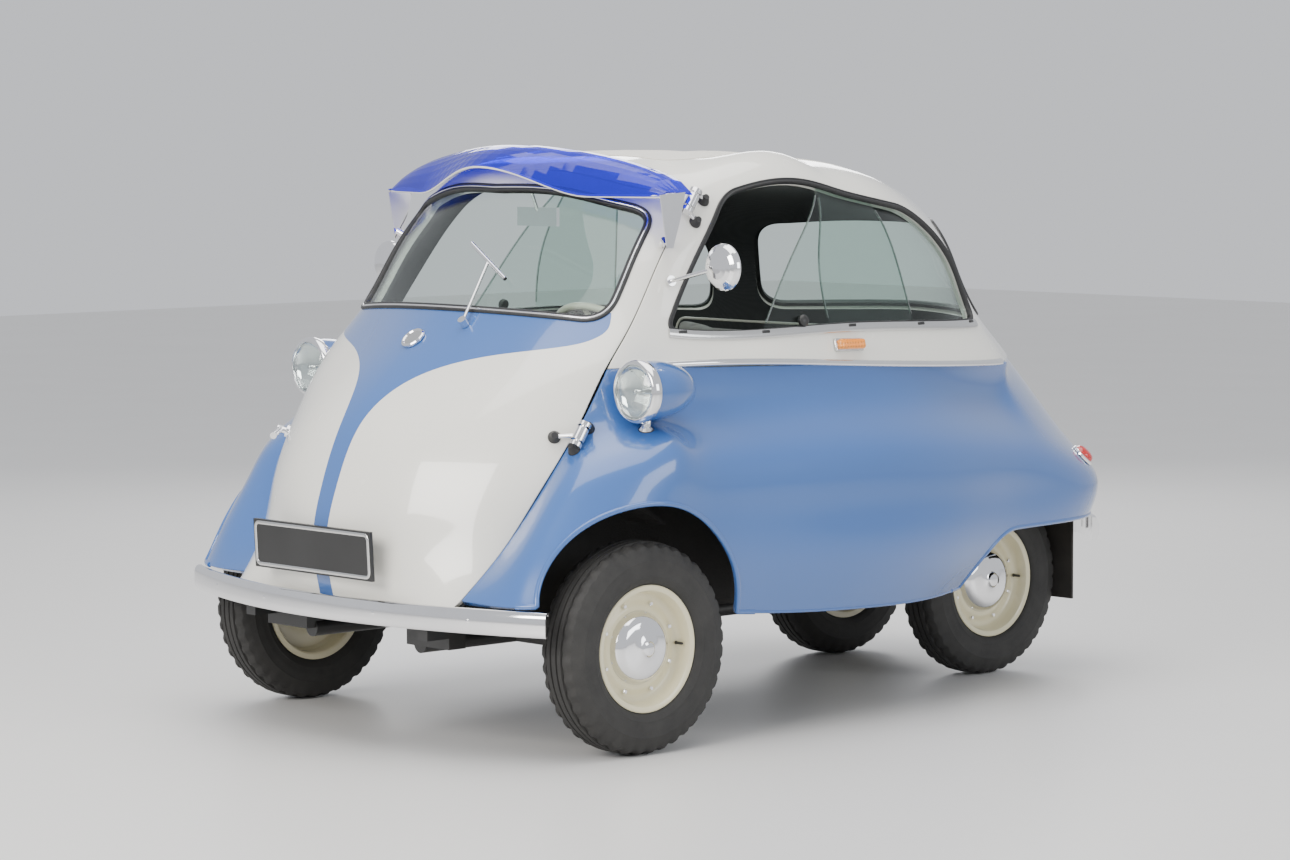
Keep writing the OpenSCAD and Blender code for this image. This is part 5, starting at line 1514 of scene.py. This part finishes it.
def makeRoof():
    us = np.linspace(0, 4480, 96, endpoint=False)
    rim = cabin.at(us, 1170.0)
    middle = rim.mean(0)
    rim = middle + (rim - middle) * [roof["shut"], roof["shut"], 1]
    rows = []
    for s in roof["rings"]:
        row = middle + s * (rim - middle)
        row[:, 2] += roof["crown"] * (1 - s * s)
        length = (row[:, 1] - middle[1]) / np.abs(rim[:, 1] - middle[1]).max()
        row[:, 2] += roof["hoop"] * (1 - s * s) * (np.exp(-((length - 0.35) / 0.07) ** 2)
                + np.exp(-((length + 0.35) / 0.07) ** 2))
        rows.append(row)
    top = np.vstack(rows)
    count, k = len(us), len(rows)
    faces = []
    for r in range(k - 1):
        for i in range(count):
            j = (i + 1) % count
            faces.append((r * count + i, r * count + j, (r + 1) * count + j, (r + 1) * count + i))
    faces.append(tuple((k - 1) * count + i for i in range(count)))
    n = len(top)
    under = top - [0, 0, roof["thick"]]
    verts = np.vstack([top, under])
    allFaces = faces + [tuple(n + i for i in f[::-1]) for f in faces]
    allFaces += [((i + 1) % count, i, n + i, n + (i + 1) % count) for i in range(count)]
    sheet = finishMesh("fabricRoof", verts, allFaces, ["roofCloth"])
    tidyNormals(sheet, 60)
    give(sheet, "body", "roof_fabric", "sunroof")
    edge = middle + (rim - middle) * [0.985, 0.985, 1]
    hem = stripPiece("fabricRoofHem", edge + [0, 0, 0.0012], np.tile([0, 0, 1.0], (count, 1)),
            roundSection(0.0042, 0.0021, 10), "roofCloth", True, 60)
    give(hem, "body", "roof_fabric")


makeWheels()
print("wheels done")
makeHeadlamps()
makeFrontBumper()
makePlateRim("frontPlateRim", (0, -1.1420, 0.446), 0.414, 0.096, math.radians(-3), -1)
makePlateRim("rearPlateRim", (0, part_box("rear_plate")[1][1] - 0.0012, 0.480), 0.250, 0.096, 0, 1)
makeBadge()
makeIndicators()
makeTailLamps()
print("lamps, bumper and plates done")
makeBoots()
makeMirrorGlass()
makeVisorEdge()
makeSteeringWheel()
makeDial()
print("hinge boots, mirrors, visor edge and steering wheel done")
makeSeat()
makeRoof()
print("seat and roof done")


# the CAD nodes that stay as they are

kept = {
    "chassisBlack": ["chassis", "seat_frame", "lower_column", "pedals"],
    "underSeal": ["floor_pan", "rear_bulkhead", "inner_sides", "wheel_liners"],
    "castMetal": ["engine_block", "exhaust", "left_knuckle", "right_knuckle", "rear_axle"],
    "mudRubber": ["mudflaps"],
    "blueAcrylic": ["sun_visor"],
    "ivoryPlastic": ["instrument_pod"],
    "blackPlastic": ["front_plate", "rear_plate", "gear_lever"],
    "chrome": ["door_handle", "rear_bumpers", "mirrors", "wiper", "visor_brackets", "door_hinges",
            "body_hinges", "interior_mirror"],
}


def finishCadNodes():
    for material, names in kept.items():
        for name in names:
            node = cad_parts[name]
            if not node.material_slots:
                node.data.materials.append(mats[material])
            for materialSlot in node.material_slots:
                materialSlot.material = mats[material]


finishCadNodes()


# floor

def makeFloor():
    bpy.ops.object.select_all(action="DESELECT")
    bpy.ops.mesh.primitive_grid_add(x_subdivisions=8, y_subdivisions=8, size=26, location=(0, 0, 0))
    floor = bpy.context.object
    floor.name = "studioFloor"
    floor.data.transform(Matrix.Translation((-3, 3, -0.0006)))
    floor.location = (0, 0, 0)
    paintWith(floor, "studioFloor")


makeFloor()
